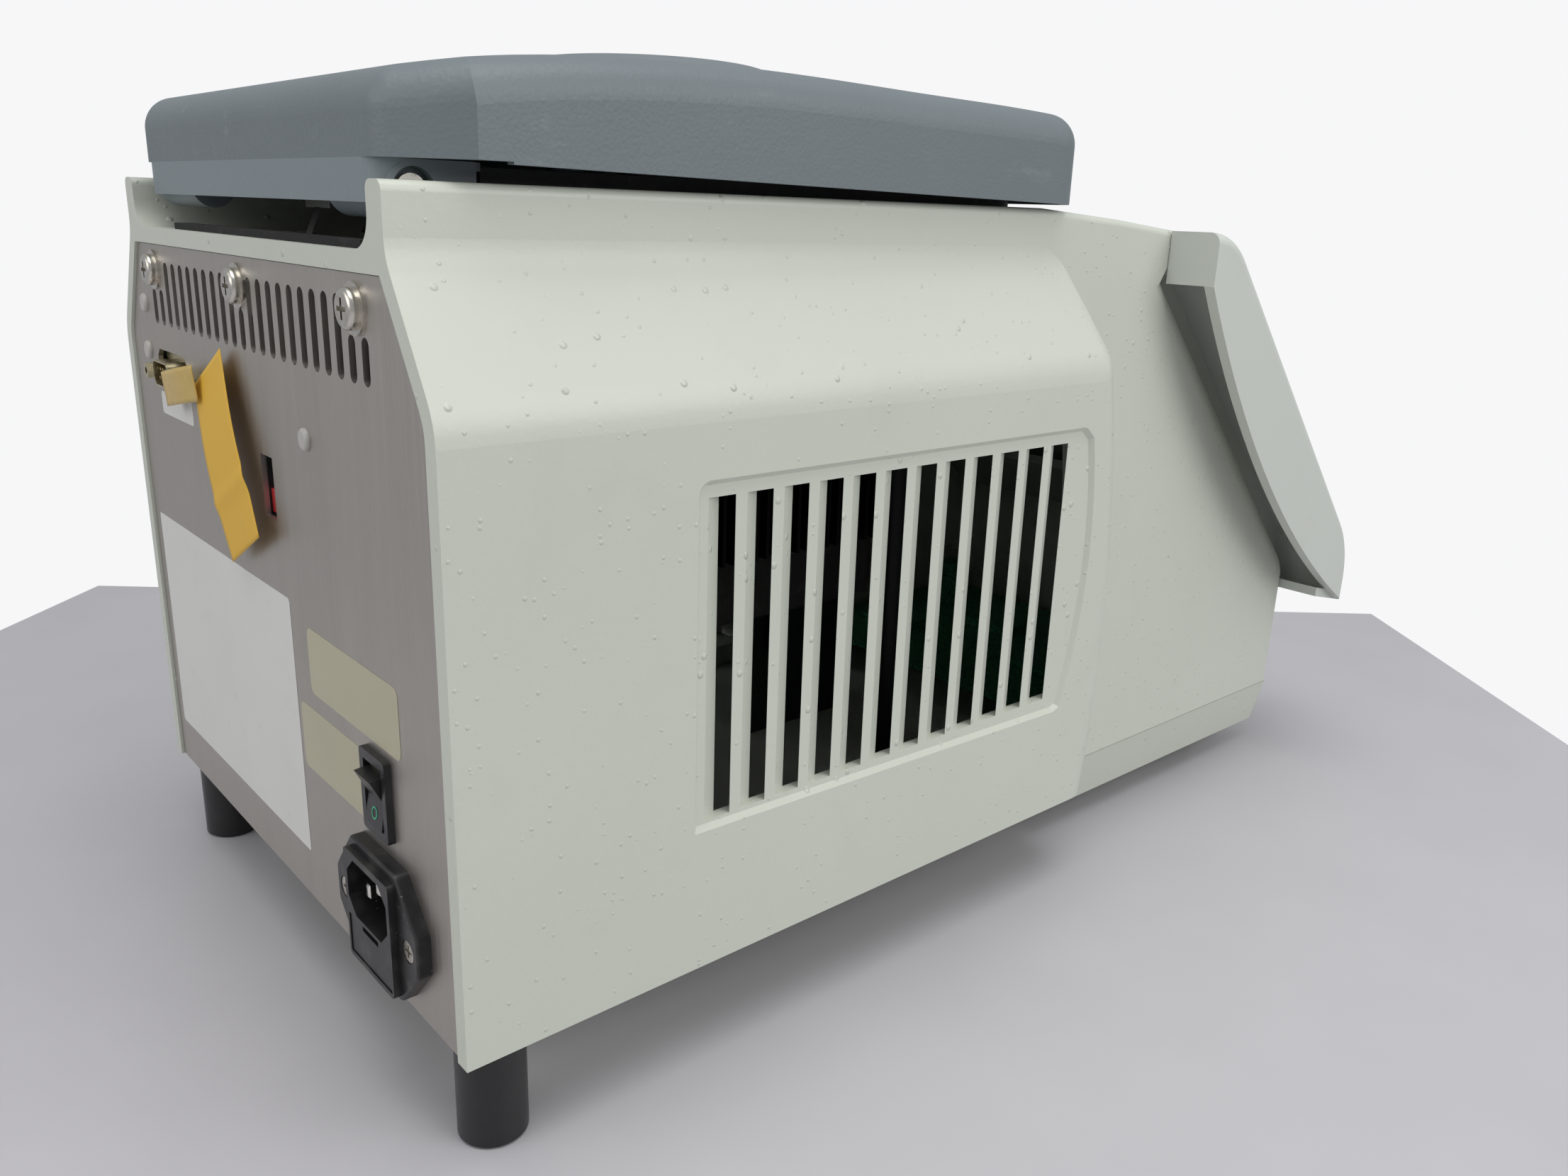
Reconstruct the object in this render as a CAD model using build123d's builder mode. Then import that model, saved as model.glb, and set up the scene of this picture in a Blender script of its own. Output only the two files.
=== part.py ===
from build123d import *
import math
import os

os.makedirs("parts", exist_ok=True)

# Overall sizes, millimetres. Depth is measured forward from the rear rim of the housing.
BODY_WIDTH = 240.0
WAIST_WIDTH = 200.0
BODY_DEPTH = 450.0
INLET_PROUD = 5.0
REAR_Y = (BODY_DEPTH + INLET_PROUD) / 2 - INLET_PROUD
FLOOR_Z = 32.0
KNEE_Z = 194.0
SHOULDER_Z = 227.4
WING_Z = 243.3
DECK_Z = 228.3
WALL = 5.0
DECK = 5.1
PANEL_TOP = 223.2
WING_INNER = 92.0
COVE = 8.0
KNEE_ROUND = 20.0
COVE_ROUND = 14.0
WAIST_ROUND = 5.0
GAP = 0.3
SLIDE_FIT = 0.3
SLANT = math.atan((BODY_WIDTH - WAIST_WIDTH) / 2 / (SHOULDER_Z - KNEE_Z))

# Sloped front of the housing: depth + height is constant along it.
SLOPE_SUM = 526.0
SLOPE_TOP = 301.0
FRONT_DEPTH = 429.0
CONSOLE_SUM = 550.75

# Side grille.
GRILLE_REAR = 70.0
GRILLE_TOP = 173.8
SLOT_COUNT = 12
SLOT_FIRST = 74.15
SLOT_PITCH = 12.87
SLOT_WIDTH = 9.0
SLOT_LOW = 77.2
SLOT_HIGH = 168.9
RECESS = 1.5
LOUVRE_LEAN = 1.72

# Sample block and its cooling stack.
BLOCK_DEPTH = 137.0
WELL_PITCH = 9.0
WELL_ROWS = 8
WELL_COLUMNS = 12

# Lid.
LID_REAR = 4.0
LID_FRONT = 239.0
LID_HALF = 105.0
LID_NECK = 88.0
LID_SEAM_REAR = 248.0
LID_SEAM_FRONT = 245.0
PIVOT_DEPTH = 15.0
PIVOT_Z = 211.0
ARM_X = 40.0
ARM_THICK = 5.0
BARREL_Z = 241.4
BARREL_DEPTH = 13.2

# Control console.
CONSOLE_MID = 378.8
CONSOLE_LIP = 73.0
KEY_COUNT = 6
KEY_PITCH = 26.0
KEY_TRAVEL = 1.0

# Fittings of the rear panel.
INLET_X = -75.4
SWITCH_Z = 90.5
SELECTOR_X = -9.8
SERIAL_X = 72.5
SERIAL_Z = 182.5


def y_at(depth):
    return REAR_Y - depth


def station(depth):
    return Plane.XZ.offset(depth - REAR_Y)


def side_points(points):
    return [(y_at(depth), height) for depth, height in points]


# Bulged outline of the housing, inset by a wall.
def section_points(inset, low, high, collar=0):
    side = BODY_WIDTH / 2 - inset
    knee = KNEE_Z - inset * math.tan(SLANT / 2)
    top = side - (high - knee) * math.tan(SLANT)
    right = [(side, low), (side, knee), (top, high)]
    if collar:
        right.append((top, high + collar))
    return right + [(-x, z) for x, z in reversed(right)]


def bulged_side_form(inset, low, high, rear, rounding, collar=0):
    with BuildPart() as form:
        with BuildSketch(station(rear)) as section:
            with BuildLine():
                Polyline(*section_points(inset, low, high, collar), close=True)
            make_face()
            knees = section.vertices().filter_by(lambda v: abs(v.Y - KNEE_Z) < 3)
            fillet(knees, KNEE_ROUND - inset)
            if collar:
                fillet(section.vertices().filter_by(lambda v: abs(v.Y - high) < 0.1), COVE_ROUND)
        extrude(amount=280 - rear)
        with BuildSketch(Plane.YZ):
            with BuildLine():
                front = ThreePointArc((y_at(260.4 - inset), low - 2),
                                      (y_at(264.3 - inset), 118),
                                      (y_at(243 - inset), high + 2))
                tip = front @ 1 + (front % 1) * (collar + 3)
                Polyline(front @ 1, tip, (y_at(rear) + 1, high + collar + 2), (y_at(rear) + 1, low - 2), front @ 0)
            make_face()
        extrude(amount=130, both=True, mode=Mode.INTERSECT)
        limit = y_at(235)
        ends = form.edges().filter_by(lambda e: e.center().Y < limit and abs(e.center().X) > 60)
        fillet(ends.filter_by(lambda e: low + 1 < e.center().Z < high + 9), radius=rounding)
    return form.part


def deck_profile_cut(depth_from, depth_to, half, low, radius):
    with BuildPart() as cut:
        with BuildSketch(station(depth_from)) as s:
            with Locations((0, low + 30)):
                Rectangle(2 * half, 60)
            fillet(s.vertices().group_by(Axis.Z)[0], radius)
        extrude(amount=depth_to - depth_from)
    return cut.part


# Painted housing: waisted core with wings, two bulged sides, grilles and openings.
bulge_solid = bulged_side_form(0, FLOOR_Z, SHOULDER_Z, 0, 14, collar=10)
bulge_hollow = bulged_side_form(WALL, FLOOR_Z - 1, PANEL_TOP, -1, 9)
deck_cut = deck_profile_cut(-1, 335, WING_INNER, DECK_Z, COVE)

with BuildPart() as upper_housing:
    with BuildSketch(Plane.YZ):
        with BuildLine():
            Polyline(*side_points([(0, FLOOR_Z), (0, WING_Z), (226, WING_Z), (268.9, 240.6),
                                   (293.6, 238.4), (309.2, 237.1), (SLOPE_TOP, 225),
                                   (FRONT_DEPTH, SLOPE_SUM - FRONT_DEPTH), (FRONT_DEPTH, FLOOR_Z)]),
                     close=True)
        make_face()
    extrude(amount=WAIST_WIDTH / 2, both=True)
    slope_sides = upper_housing.edges().filter_by(
        lambda e: abs(abs(e.center().X) - 100) < 0.1 and y_at(400) < e.center().Y < y_at(330)
        and e.length > 150)
    fillet(slope_sides, radius=12)
    front_corners = upper_housing.edges().filter_by(Axis.Z).group_by(Axis.Y)[0]
    fillet(front_corners, radius=4)
    add(bulge_solid)
    add(deck_cut, mode=Mode.SUBTRACT)
    rims = upper_housing.edges().filter_by(lambda e: e.center().Z > 236 and e.center().Y > y_at(240)
                                           and e.length > 100)
    fillet(rims, radius=2.4)
    # Hollow inside.
    add(bulge_hollow, mode=Mode.SUBTRACT)
    with BuildSketch(Plane.YZ):
        with BuildLine():
            inner_sum = SLOPE_SUM - WALL * math.sqrt(2)
            inner_front = FRONT_DEPTH - WALL
            Polyline(*side_points([(-1, FLOOR_Z - 1), (-1, PANEL_TOP), (inner_sum - PANEL_TOP, PANEL_TOP),
                                   (inner_front, inner_sum - inner_front), (inner_front, FLOOR_Z - 1)]),
                     close=True)
        make_face()
    extrude(amount=WAIST_WIDTH / 2 - WALL, both=True, mode=Mode.SUBTRACT)
    # Screw bosses behind the rear panel.
    with BuildSketch(station(2.5)):
        with Locations((-80.3, 215.5), (0, 215.5), (80.3, 215.5)):
            Rectangle(13, 16)
    extrude(amount=8)
    with BuildSketch(station(2.5)):
        with Locations((-80.3, 215), (0, 215), (80.3, 215)):
            Circle(1.95)
    extrude(amount=7, mode=Mode.SUBTRACT)
    # Posts that stand on the tray flange.
    with BuildSketch(Plane.XY.offset(34)):
        with Locations(*[(side * 108.5, y_at(depth)) for side in (-1, 1) for depth in (34, 248)]):
            Rectangle(14, 12)
        with Locations(*[(side * 88.5, y_at(417)) for side in (-1, 1)]):
            Rectangle(14, 14.5)
    extrude(amount=24)
    # Recessed grille border with bevelled edge, then the slots.
    for side in (-1, 1):
        face_x = side * BODY_WIDTH / 2
        with BuildSketch(Plane.YZ.offset(face_x)) as border:
            with BuildLine():
                edge = ThreePointArc((y_at(237.2), 169.9), (y_at(241.5), 124), (y_at(232.8), 72.8))
                Polyline(edge @ 0, (y_at(232.5), GRILLE_TOP), (y_at(GRILLE_REAR), GRILLE_TOP),
                         (y_at(GRILLE_REAR), 75), (y_at(229.5), 71.5), edge @ 1)
            make_face()
            fillet(border.vertices().group_by(Axis.Y)[-1], 4)
        extrude(amount=-side * RECESS, taper=45, mode=Mode.SUBTRACT)
        floor_x = side * (BODY_WIDTH / 2 - RECESS)
        inner_x = side * (BODY_WIDTH / 2 - WALL - 1)
        lean = LOUVRE_LEAN * (WALL + 1 - RECESS)
        with BuildSketch(Plane.XY.offset(SLOT_LOW)):
            for i in range(SLOT_COUNT):
                rear = SLOT_FIRST + SLOT_PITCH * i
                front = rear + SLOT_WIDTH
                outline = [(face_x + side, y_at(rear)), (floor_x, y_at(rear)), (inner_x, y_at(rear + lean)),
                           (inner_x, y_at(front + lean)), (floor_x, y_at(front)), (face_x + side, y_at(front))]
                Polygon(*outline[::side], align=None)
        extrude(amount=SLOT_HIGH - SLOT_LOW, mode=Mode.SUBTRACT)
    # Openings of the deck: hinge well and block opening.
    with BuildSketch(Plane.XY.offset(PANEL_TOP - 1)):
        with Locations((0, y_at(35))):
            Rectangle(108, 54)
        with Locations((0, y_at(BLOCK_DEPTH))):
            Rectangle(120, 84)
    extrude(amount=10, mode=Mode.SUBTRACT)
    # Window behind the console.
    with BuildSketch(Plane(origin=(0, y_at(365), SLOPE_SUM - 365), x_dir=(1, 0, 0), z_dir=(0, -1, 1))):
        RectangleRounded(160, 110, 6)
    extrude(amount=-12, mode=Mode.SUBTRACT)
upper_housing.part.label = "upper_housing"
export_step(upper_housing.part, "parts/upper_housing.step")
print("housing", upper_housing.part.volume, len(upper_housing.part.solids()),
      upper_housing.part.is_valid)
# Folded tray that closes the bottom, with the flange the housing posts stand on.
FLANGE_LOW = 31.7
TRAY_FLOOR = 11.7
with BuildPart() as base_tray:
    with BuildSketch(Plane.XY.offset(FLANGE_LOW)) as flange_outline:
        with Locations((0, y_at((3 + 253.5) / 2))):
            Rectangle(2 * (115 - GAP), 250.5)
        fillet(flange_outline.vertices().group_by(Axis.Y)[0], 11)
        with Locations((0, y_at((250 + 423.7) / 2))):
            Rectangle(2 * (95 - GAP), 173.7)
    extrude(amount=34 - FLANGE_LOW)
    with BuildSketch(Plane.XY.offset(31.5)):
        with Locations((0, y_at(345))):
            Rectangle(199.2, 166)
    extrude(amount=TRAY_FLOOR - 31.5, taper=9.5)
    with BuildSketch(Plane.XY.offset(31.8)):
        with Locations((0, y_at(345))):
            Rectangle(180, 150)
    extrude(amount=-1, both=True)
    with BuildSketch(Plane.XY.offset(FLANGE_LOW)):
        with Locations((0, y_at(142))):
            Rectangle(176, 224)
    extrude(amount=-9.7)
    with BuildSketch(station(2.5)):
        with Locations((25, (FLANGE_LOW + 50) / 2)):
            Rectangle(150, 50 - FLANGE_LOW)
    extrude(amount=2)
    # Hollows of both tubs.
    with BuildSketch(Plane.XY.offset(34)):
        with Locations((0, y_at(344))):
            Rectangle(176, 146)
        with Locations((0, y_at(142))):
            Rectangle(171.4, 219.4)
    extrude(amount=-9.7, mode=Mode.SUBTRACT)
    with BuildSketch(Plane.XY.offset(25)):
        with Locations((0, y_at(345))):
            Rectangle(184, 152)
    extrude(amount=-11, mode=Mode.SUBTRACT)
base_tray.part.label = "base_tray"
export_step(base_tray.part, "parts/base_tray.step")

# Sloped console: moulded shell whose side strips stand off the body as finger grips.
CONSOLE_PLANE = Plane(origin=(0, y_at(CONSOLE_MID), CONSOLE_SUM - CONSOLE_MID),
                      x_dir=(1, 0, 0), z_dir=(0, -1, 1))
SHELL = 4.0
RIM_INNER = 82.0
RIM_OUTER = 86.0
GRIP_OUTER = 116.0
CAP_Z = 237.4
LIP_REAR = 300.5
LIP_Z = 218.6
WINDOW_Y = 38.0
KEY_Y = -2.0
key_spots = [((i - (KEY_COUNT - 1) / 2) * KEY_PITCH, KEY_Y) for i in range(KEY_COUNT)]


def console_hollow(inner, outer, both=True):
    with BuildPart() as cut:
        shell_sum = CONSOLE_SUM - SHELL * math.sqrt(2)
        with BuildSketch(Plane.YZ.offset(inner)):
            with BuildLine():
                Polyline(*side_points([(LIP_REAR + SHELL, CAP_Z - SHELL), (shell_sum - CAP_Z + SHELL, CAP_Z - SHELL),
                                       (BODY_DEPTH - SHELL, shell_sum - BODY_DEPTH + SHELL),
                                       (BODY_DEPTH - SHELL, 78.1), (425, 83.1), (250, 83.1),
                                       (250, LIP_Z), (LIP_REAR + SHELL, LIP_Z)]), close=True)
            make_face()
        extrude(amount=outer - inner)
        if both:
            mirror(about=Plane.YZ, mode=Mode.ADD)
    return cut.part


with BuildPart() as front_console:
    with BuildSketch(Plane.YZ):
        with BuildLine():
            front = Polyline(*side_points([(LIP_REAR, LIP_Z), (LIP_REAR, CAP_Z),
                                           (CONSOLE_SUM - CAP_Z, CAP_Z),
                                           (BODY_DEPTH, CONSOLE_SUM - BODY_DEPTH),
                                           (BODY_DEPTH, CONSOLE_LIP)]))
            ThreePointArc(front @ 1, (y_at(357.3), 145.1), front @ 0)
        make_face()
    extrude(amount=BODY_WIDTH / 2, both=True)
    crest = front_console.edges().filter_by(Axis.X)
    fillet(crest.sort_by(lambda e: abs(e.center().Y - y_at(CONSOLE_SUM - CAP_Z))
                         + abs(e.center().Z - CAP_Z))[0], radius=30)
    crest = front_console.edges().filter_by(Axis.X)
    fillet(crest.sort_by(lambda e: abs(e.center().Y - y_at(BODY_DEPTH))
                         + abs(e.center().Z - CONSOLE_SUM + BODY_DEPTH))[0], radius=42)
    outline = front_console.edges().filter_by(lambda e: abs(abs(e.center().X) - BODY_WIDTH / 2) < 0.01
                                              and e.center().Z - y_at(0) + e.center().Y + 2 * y_at(0) > 0)
    outer = outline.filter_by(lambda e: (y_at(0) - e.center().Y) + e.center().Z > 530
                              or e.center().Y < y_at(449.5))
    fillet(outer, radius=4)
    add(console_hollow(RIM_OUTER, GRIP_OUTER), mode=Mode.SUBTRACT)
    add(console_hollow(-RIM_INNER, RIM_INNER, both=False), mode=Mode.SUBTRACT)
    with BuildSketch(Plane.YZ):
        with BuildLine():
            Polyline(*side_points([(280, 260), (309.6, 260), (309.6, CAP_Z), (SLOPE_TOP + 0.3, 224.7),
                                   (FRONT_DEPTH, SLOPE_SUM - FRONT_DEPTH), (FRONT_DEPTH + GAP, 97),
                                   (FRONT_DEPTH + GAP, 60), (280, 60)]), close=True)
        make_face()
    extrude(amount=WAIST_WIDTH / 2 + GAP, both=True, mode=Mode.SUBTRACT)
    # Bottom lip.
    with BuildSketch(Plane.YZ):
        with BuildLine():
            Polyline(*side_points([(BODY_DEPTH - 0.5, CONSOLE_LIP + 0.2), (FRONT_DEPTH + GAP, 78),
                                   (FRONT_DEPTH + GAP, 82.1), (BODY_DEPTH - 3, 78.2)]), close=True)
        make_face()
    extrude(amount=GRIP_OUTER + 0.5, both=True)
    # Overlay recess, window seat and key openings.
    with BuildSketch(CONSOLE_PLANE):
        RectangleRounded(204, 140, 5)
    extrude(amount=-0.8, mode=Mode.SUBTRACT)
    with BuildSketch(CONSOLE_PLANE):
        with Locations((0, WINDOW_Y)):
            RectangleRounded(124, 44, 3)
    extrude(amount=-2.8, mode=Mode.SUBTRACT)
    with BuildSketch(CONSOLE_PLANE):
        with Locations((0, WINDOW_Y)):
            Rectangle(116, 36)
        with Locations(*key_spots):
            Rectangle(16 + 2 * SLIDE_FIT, 10 + 2 * SLIDE_FIT)
    extrude(amount=-SHELL - 1, mode=Mode.SUBTRACT)
    with BuildSketch(CONSOLE_PLANE.offset(-SHELL)):
        with Locations((-78, KEY_Y), (78, KEY_Y)):
            Circle(3)
    extrude(amount=-5.5)
front_console.part.label = "front_console"
export_step(front_console.part, "parts/front_console.step")
print("console", len(front_console.part.solids()), front_console.part.is_valid)

# Clear window, display module behind it, printed overlay, keys and their board.
with BuildPart() as display_window:
    with BuildSketch(CONSOLE_PLANE.offset(-2.8)):
        with Locations((0, WINDOW_Y)):
            RectangleRounded(123.4, 43.4, 2.7)
    extrude(amount=2)
display_window.part.label = "display_window"
export_step(display_window.part, "parts/display_window.step")

with BuildPart() as display_module:
    with BuildSketch(CONSOLE_PLANE.offset(-SHELL)):
        with Locations((0, WINDOW_Y)):
            Rectangle(134, 46)
    extrude(amount=-1.6)
    with BuildSketch(CONSOLE_PLANE.offset(-SHELL - 1.6)):
        with Locations((0, WINDOW_Y)):
            Rectangle(120, 40)
    extrude(amount=-6)
    with BuildSketch(CONSOLE_PLANE.offset(-SHELL)):
        with Locations((0, WINDOW_Y)):
            Rectangle(110, 32)
    extrude(amount=0.8)
display_module.part.label = "display_module"
export_step(display_module.part, "parts/display_module.step")

with BuildPart() as keypad_overlay:
    with BuildSketch(CONSOLE_PLANE.offset(-0.8)):
        RectangleRounded(203.4, 139.4, 4.7)
        with Locations((0, WINDOW_Y)):
            RectangleRounded(118, 38, 2, mode=Mode.SUBTRACT)
        with Locations(*key_spots):
            Rectangle(16 + 2 * SLIDE_FIT, 10 + 2 * SLIDE_FIT, mode=Mode.SUBTRACT)
    extrude(amount=0.7)
    with BuildSketch(CONSOLE_PLANE.offset(-0.1)):
        with Locations((0, -38)):
            with GridLocations(KEY_PITCH, 20, 6, 2):
                RectangleRounded(19, 12, 2)
    extrude(amount=0.4)
keypad_overlay.part.label = "keypad_overlay"
export_step(keypad_overlay.part, "parts/keypad_overlay.step")

with BuildPart() as key_board:
    with BuildSketch(CONSOLE_PLANE.offset(-9.5)):
        with Locations((0, KEY_Y)):
            Rectangle(162, 22)
    extrude(amount=-1.6)
    with BuildSketch(CONSOLE_PLANE.offset(-9.5)):
        with Locations(*key_spots):
            Rectangle(7, 7)
    extrude(amount=1.5)
key_board.part.label = "key_board"
export_step(key_board.part, "parts/key_board.step")

for i, spot in enumerate(key_spots):
    with BuildPart() as key:
        with BuildSketch(CONSOLE_PLANE.offset(1.5)):
            with Locations(spot):
                Rectangle(16, 10)
        extrude(amount=-5.8)
        fillet(key.faces().sort_by(lambda f: f.center().dot(Vector(0, -1, 1)))[-1].edges(), radius=0.8)
        with BuildSketch(CONSOLE_PLANE.offset(-SHELL - GAP)):
            with Locations(spot):
                Rectangle(19, 13)
        extrude(amount=-1)
        with BuildSketch(CONSOLE_PLANE.offset(-5)):
            with Locations(spot):
                Circle(2)
        extrude(amount=-1.8)
    key.part.label = f"key_{i + 1}"
    export_step(key.part, f"parts/key_{i + 1}.step")
# Rear panel: brushed sheet with vents, cut-outs and two studs for the connector board.
PANEL_FACE = 1.0
PANEL_THICK = 1.5
PANEL_BACK = PANEL_FACE + PANEL_THICK
VENT_COUNT = 23
VENT_PITCH = 7.65
VENT_SHORT = (0, 1, 11, 21, 22)
screw_spots = [(-80.3, 215.0), (0, 215.0), (80.3, 215.0)]
plug_spots = [(96.2, 203.4), (97.5, 187.8), (-41.7, 178.7)]
SELECTOR_Z = 160.2
SELECTOR_HIGH = 18.0
SELECTOR_WIDE = 9.2
BOARD_FACE = 14.0

with BuildPart() as rear_panel:
    with BuildSketch(station(PANEL_FACE)):
        with BuildLine():
            Polyline(*section_points(WALL + GAP, FLOOR_Z + GAP, PANEL_TOP - GAP), close=True)
        make_face()
        for i in range(VENT_COUNT):
            tall = 11.3 if i in VENT_SHORT else 20.2
            with Locations(((i - 11) * VENT_PITCH, 197.5 + tall / 2)):
                SlotOverall(tall, 4.0, rotation=90, mode=Mode.SUBTRACT)
        with Locations(*screw_spots):
            Circle(2.2, mode=Mode.SUBTRACT)
        with Locations(*plug_spots):
            Circle(1.6, mode=Mode.SUBTRACT)
        with Locations((INLET_X, 54.75)):
            Rectangle(29, 34.2, mode=Mode.SUBTRACT)
        with Locations((INLET_X - 20, 55), (INLET_X + 20, 55)):
            Circle(1.7, mode=Mode.SUBTRACT)
        with Locations((-75, SWITCH_Z)):
            Rectangle(14.1, 22.1, mode=Mode.SUBTRACT)
        with Locations((SELECTOR_X, SELECTOR_Z)):
            Rectangle(SELECTOR_WIDE, SELECTOR_HIGH, mode=Mode.SUBTRACT)
    extrude(amount=PANEL_THICK)
    with BuildSketch(station(PANEL_FACE - 1)) as cutout:
        with Locations((SERIAL_X, SERIAL_Z)):
            Rectangle(31, 13.5)
        chamfer(cutout.vertices(), 2.5)
    extrude(amount=4, mode=Mode.SUBTRACT)
    with BuildSketch(station(PANEL_BACK)):
        with Locations((48, 182.5), (97, 178)):
            Circle(2.5)
    extrude(amount=BOARD_FACE - PANEL_BACK)
rear_panel.part.label = "rear_panel"
export_step(rear_panel.part, "parts/rear_panel.step")

with BuildPart() as panel_screws:
    with BuildSketch(station(PANEL_FACE)):
        with Locations(*screw_spots):
            Circle(6.2)
    extrude(amount=-0.9)
    with BuildSketch(station(PANEL_FACE - 0.9)):
        with Locations(*screw_spots):
            Circle(4.9)
    extrude(amount=-2.6)
    fillet(panel_screws.faces().sort_by(Axis.Y)[-3:].edges(), radius=1.4)
    with BuildSketch(station(PANEL_FACE - 4)):
        with Locations(*screw_spots):
            Rectangle(5, 1.1)
            Rectangle(1.1, 5)
    extrude(amount=1.9, mode=Mode.SUBTRACT)
    with BuildSketch(station(PANEL_FACE)):
        with Locations(*screw_spots):
            Circle(1.85)
    extrude(amount=8)
panel_screws.part.label = "panel_screws"
export_step(panel_screws.part, "parts/panel_screws.step")

with BuildPart() as panel_plugs:
    with BuildSketch(station(PANEL_FACE)):
        with Locations(*plug_spots):
            Circle(3.1)
    extrude(amount=-1.2)
    fillet(panel_plugs.faces().sort_by(Axis.Y)[-3:].edges(), radius=1.0)
    with BuildSketch(station(PANEL_FACE)):
        with Locations(*plug_spots):
            Circle(1.5)
    extrude(amount=3)
panel_plugs.part.label = "panel_plugs"
export_step(panel_plugs.part, "parts/panel_plugs.step")

# Nine-pin connector: shell and flange, insulator, pins, jackscrews and its board.
SHELL_FACE = -3.0
FLANGE_FACE = 3.5


def d_outline(width, height, radius):
    with BuildSketch() as s:
        Trapezoid(width, height, 80, rotation=180)
        fillet(s.vertices(), radius)
    return s.sketch


with BuildPart() as serial_shell:
    with BuildSketch(station(FLANGE_FACE)):
        with Locations((SERIAL_X, SERIAL_Z)):
            RectangleRounded(30.8, 12.5, 1.5)
            add(d_outline(14.6, 6.1, 1.5), mode=Mode.SUBTRACT)
        with Locations((SERIAL_X - 12.5, SERIAL_Z), (SERIAL_X + 12.5, SERIAL_Z)):
            Circle(1.4, mode=Mode.SUBTRACT)
    extrude(amount=0.8)
    with BuildSketch(station(SHELL_FACE)):
        with Locations((SERIAL_X, SERIAL_Z)):
            add(d_outline(16.9, 8.3, 2.4))
            add(d_outline(15.9, 7.3, 2.0), mode=Mode.SUBTRACT)
    extrude(amount=FLANGE_FACE - SHELL_FACE)
serial_shell.part.label = "serial_shell"
export_step(serial_shell.part, "parts/serial_shell.step")

with BuildPart() as serial_insert:
    with BuildSketch(station(0.5)):
        with Locations((SERIAL_X, SERIAL_Z)):
            add(d_outline(14.2, 5.7, 1.3))
    extrude(amount=FLANGE_FACE + 0.8 - 0.5)
    with BuildSketch(station(FLANGE_FACE + 0.8)):
        with Locations((SERIAL_X, SERIAL_Z)):
            Rectangle(30, 11)
    extrude(amount=BOARD_FACE - FLANGE_FACE - 0.8)
serial_insert.part.label = "serial_insert"
export_step(serial_insert.part, "parts/serial_insert.step")

with BuildPart() as serial_pins:
    with BuildSketch(station(0.5)):
        with Locations((SERIAL_X, SERIAL_Z + 1.42)):
            with GridLocations(2.77, 1, 5, 1):
                Circle(0.5)
        with Locations((SERIAL_X, SERIAL_Z - 1.42)):
            with GridLocations(2.77, 1, 4, 1):
                Circle(0.5)
    extrude(amount=-2.6)
serial_pins.part.label = "serial_pins"
export_step(serial_pins.part, "parts/serial_pins.step")

with BuildPart() as jackscrews:
    with BuildSketch(station(FLANGE_FACE)):
        with Locations((SERIAL_X - 12.5, SERIAL_Z), (SERIAL_X + 12.5, SERIAL_Z)):
            RegularPolygon(2.7, 6)
            Circle(1.1, mode=Mode.SUBTRACT)
    extrude(amount=-7.5)
jackscrews.part.label = "jackscrews"
export_step(jackscrews.part, "parts/jackscrews.step")

with BuildPart() as serial_board:
    with BuildSketch(station(BOARD_FACE)):
        with Locations((SERIAL_X, SERIAL_Z - 4)):
            Rectangle(62, 34)
    extrude(amount=1.6)
    with BuildSketch(station(BOARD_FACE + 1.6)):
        with Locations((SERIAL_X - 12, SERIAL_Z - 6), (SERIAL_X + 14, SERIAL_Z - 6)):
            Rectangle(14, 8)
    extrude(amount=3)
serial_board.part.label = "serial_board"
export_step(serial_board.part, "parts/serial_board.step")

# Voltage selector behind its window, with the sliding key.
POCKET = 5.8
with BuildPart() as voltage_selector:
    with BuildSketch(station(PANEL_BACK)):
        with Locations((SELECTOR_X, SELECTOR_Z)):
            Rectangle(15, 36)
    extrude(amount=1.2)
    with BuildSketch(station(PANEL_BACK)):
        with Locations((SELECTOR_X, SELECTOR_Z)):
            Rectangle(13, 24)
    extrude(amount=12)
    with BuildSketch(station(PANEL_BACK)):
        with Locations((SELECTOR_X, SELECTOR_Z)):
            Rectangle(SELECTOR_WIDE, SELECTOR_HIGH)
    extrude(amount=POCKET, mode=Mode.SUBTRACT)
voltage_selector.part.label = "voltage_selector"
export_step(voltage_selector.part, "parts/voltage_selector.step")

SLIDER_LOW = 152.0
SLIDER_HIGH = 6.9
with BuildPart() as selector_slider:
    with BuildSketch(station(PANEL_BACK + 0.6)):
        with Locations((SELECTOR_X, SLIDER_LOW + SLIDER_HIGH / 2)):
            Rectangle(SELECTOR_WIDE - 2 * SLIDE_FIT, SLIDER_HIGH)
    extrude(amount=POCKET - 0.6 - GAP)
    with BuildSketch(station(PANEL_BACK + 0.6)):
        with Locations((SELECTOR_X, SLIDER_LOW + SLIDER_HIGH / 2)):
            Rectangle(1.4, 4.2)
    extrude(amount=1.2, mode=Mode.SUBTRACT)
selector_slider.part.label = "selector_slider"
export_step(selector_slider.part, "parts/selector_slider.step")

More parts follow.
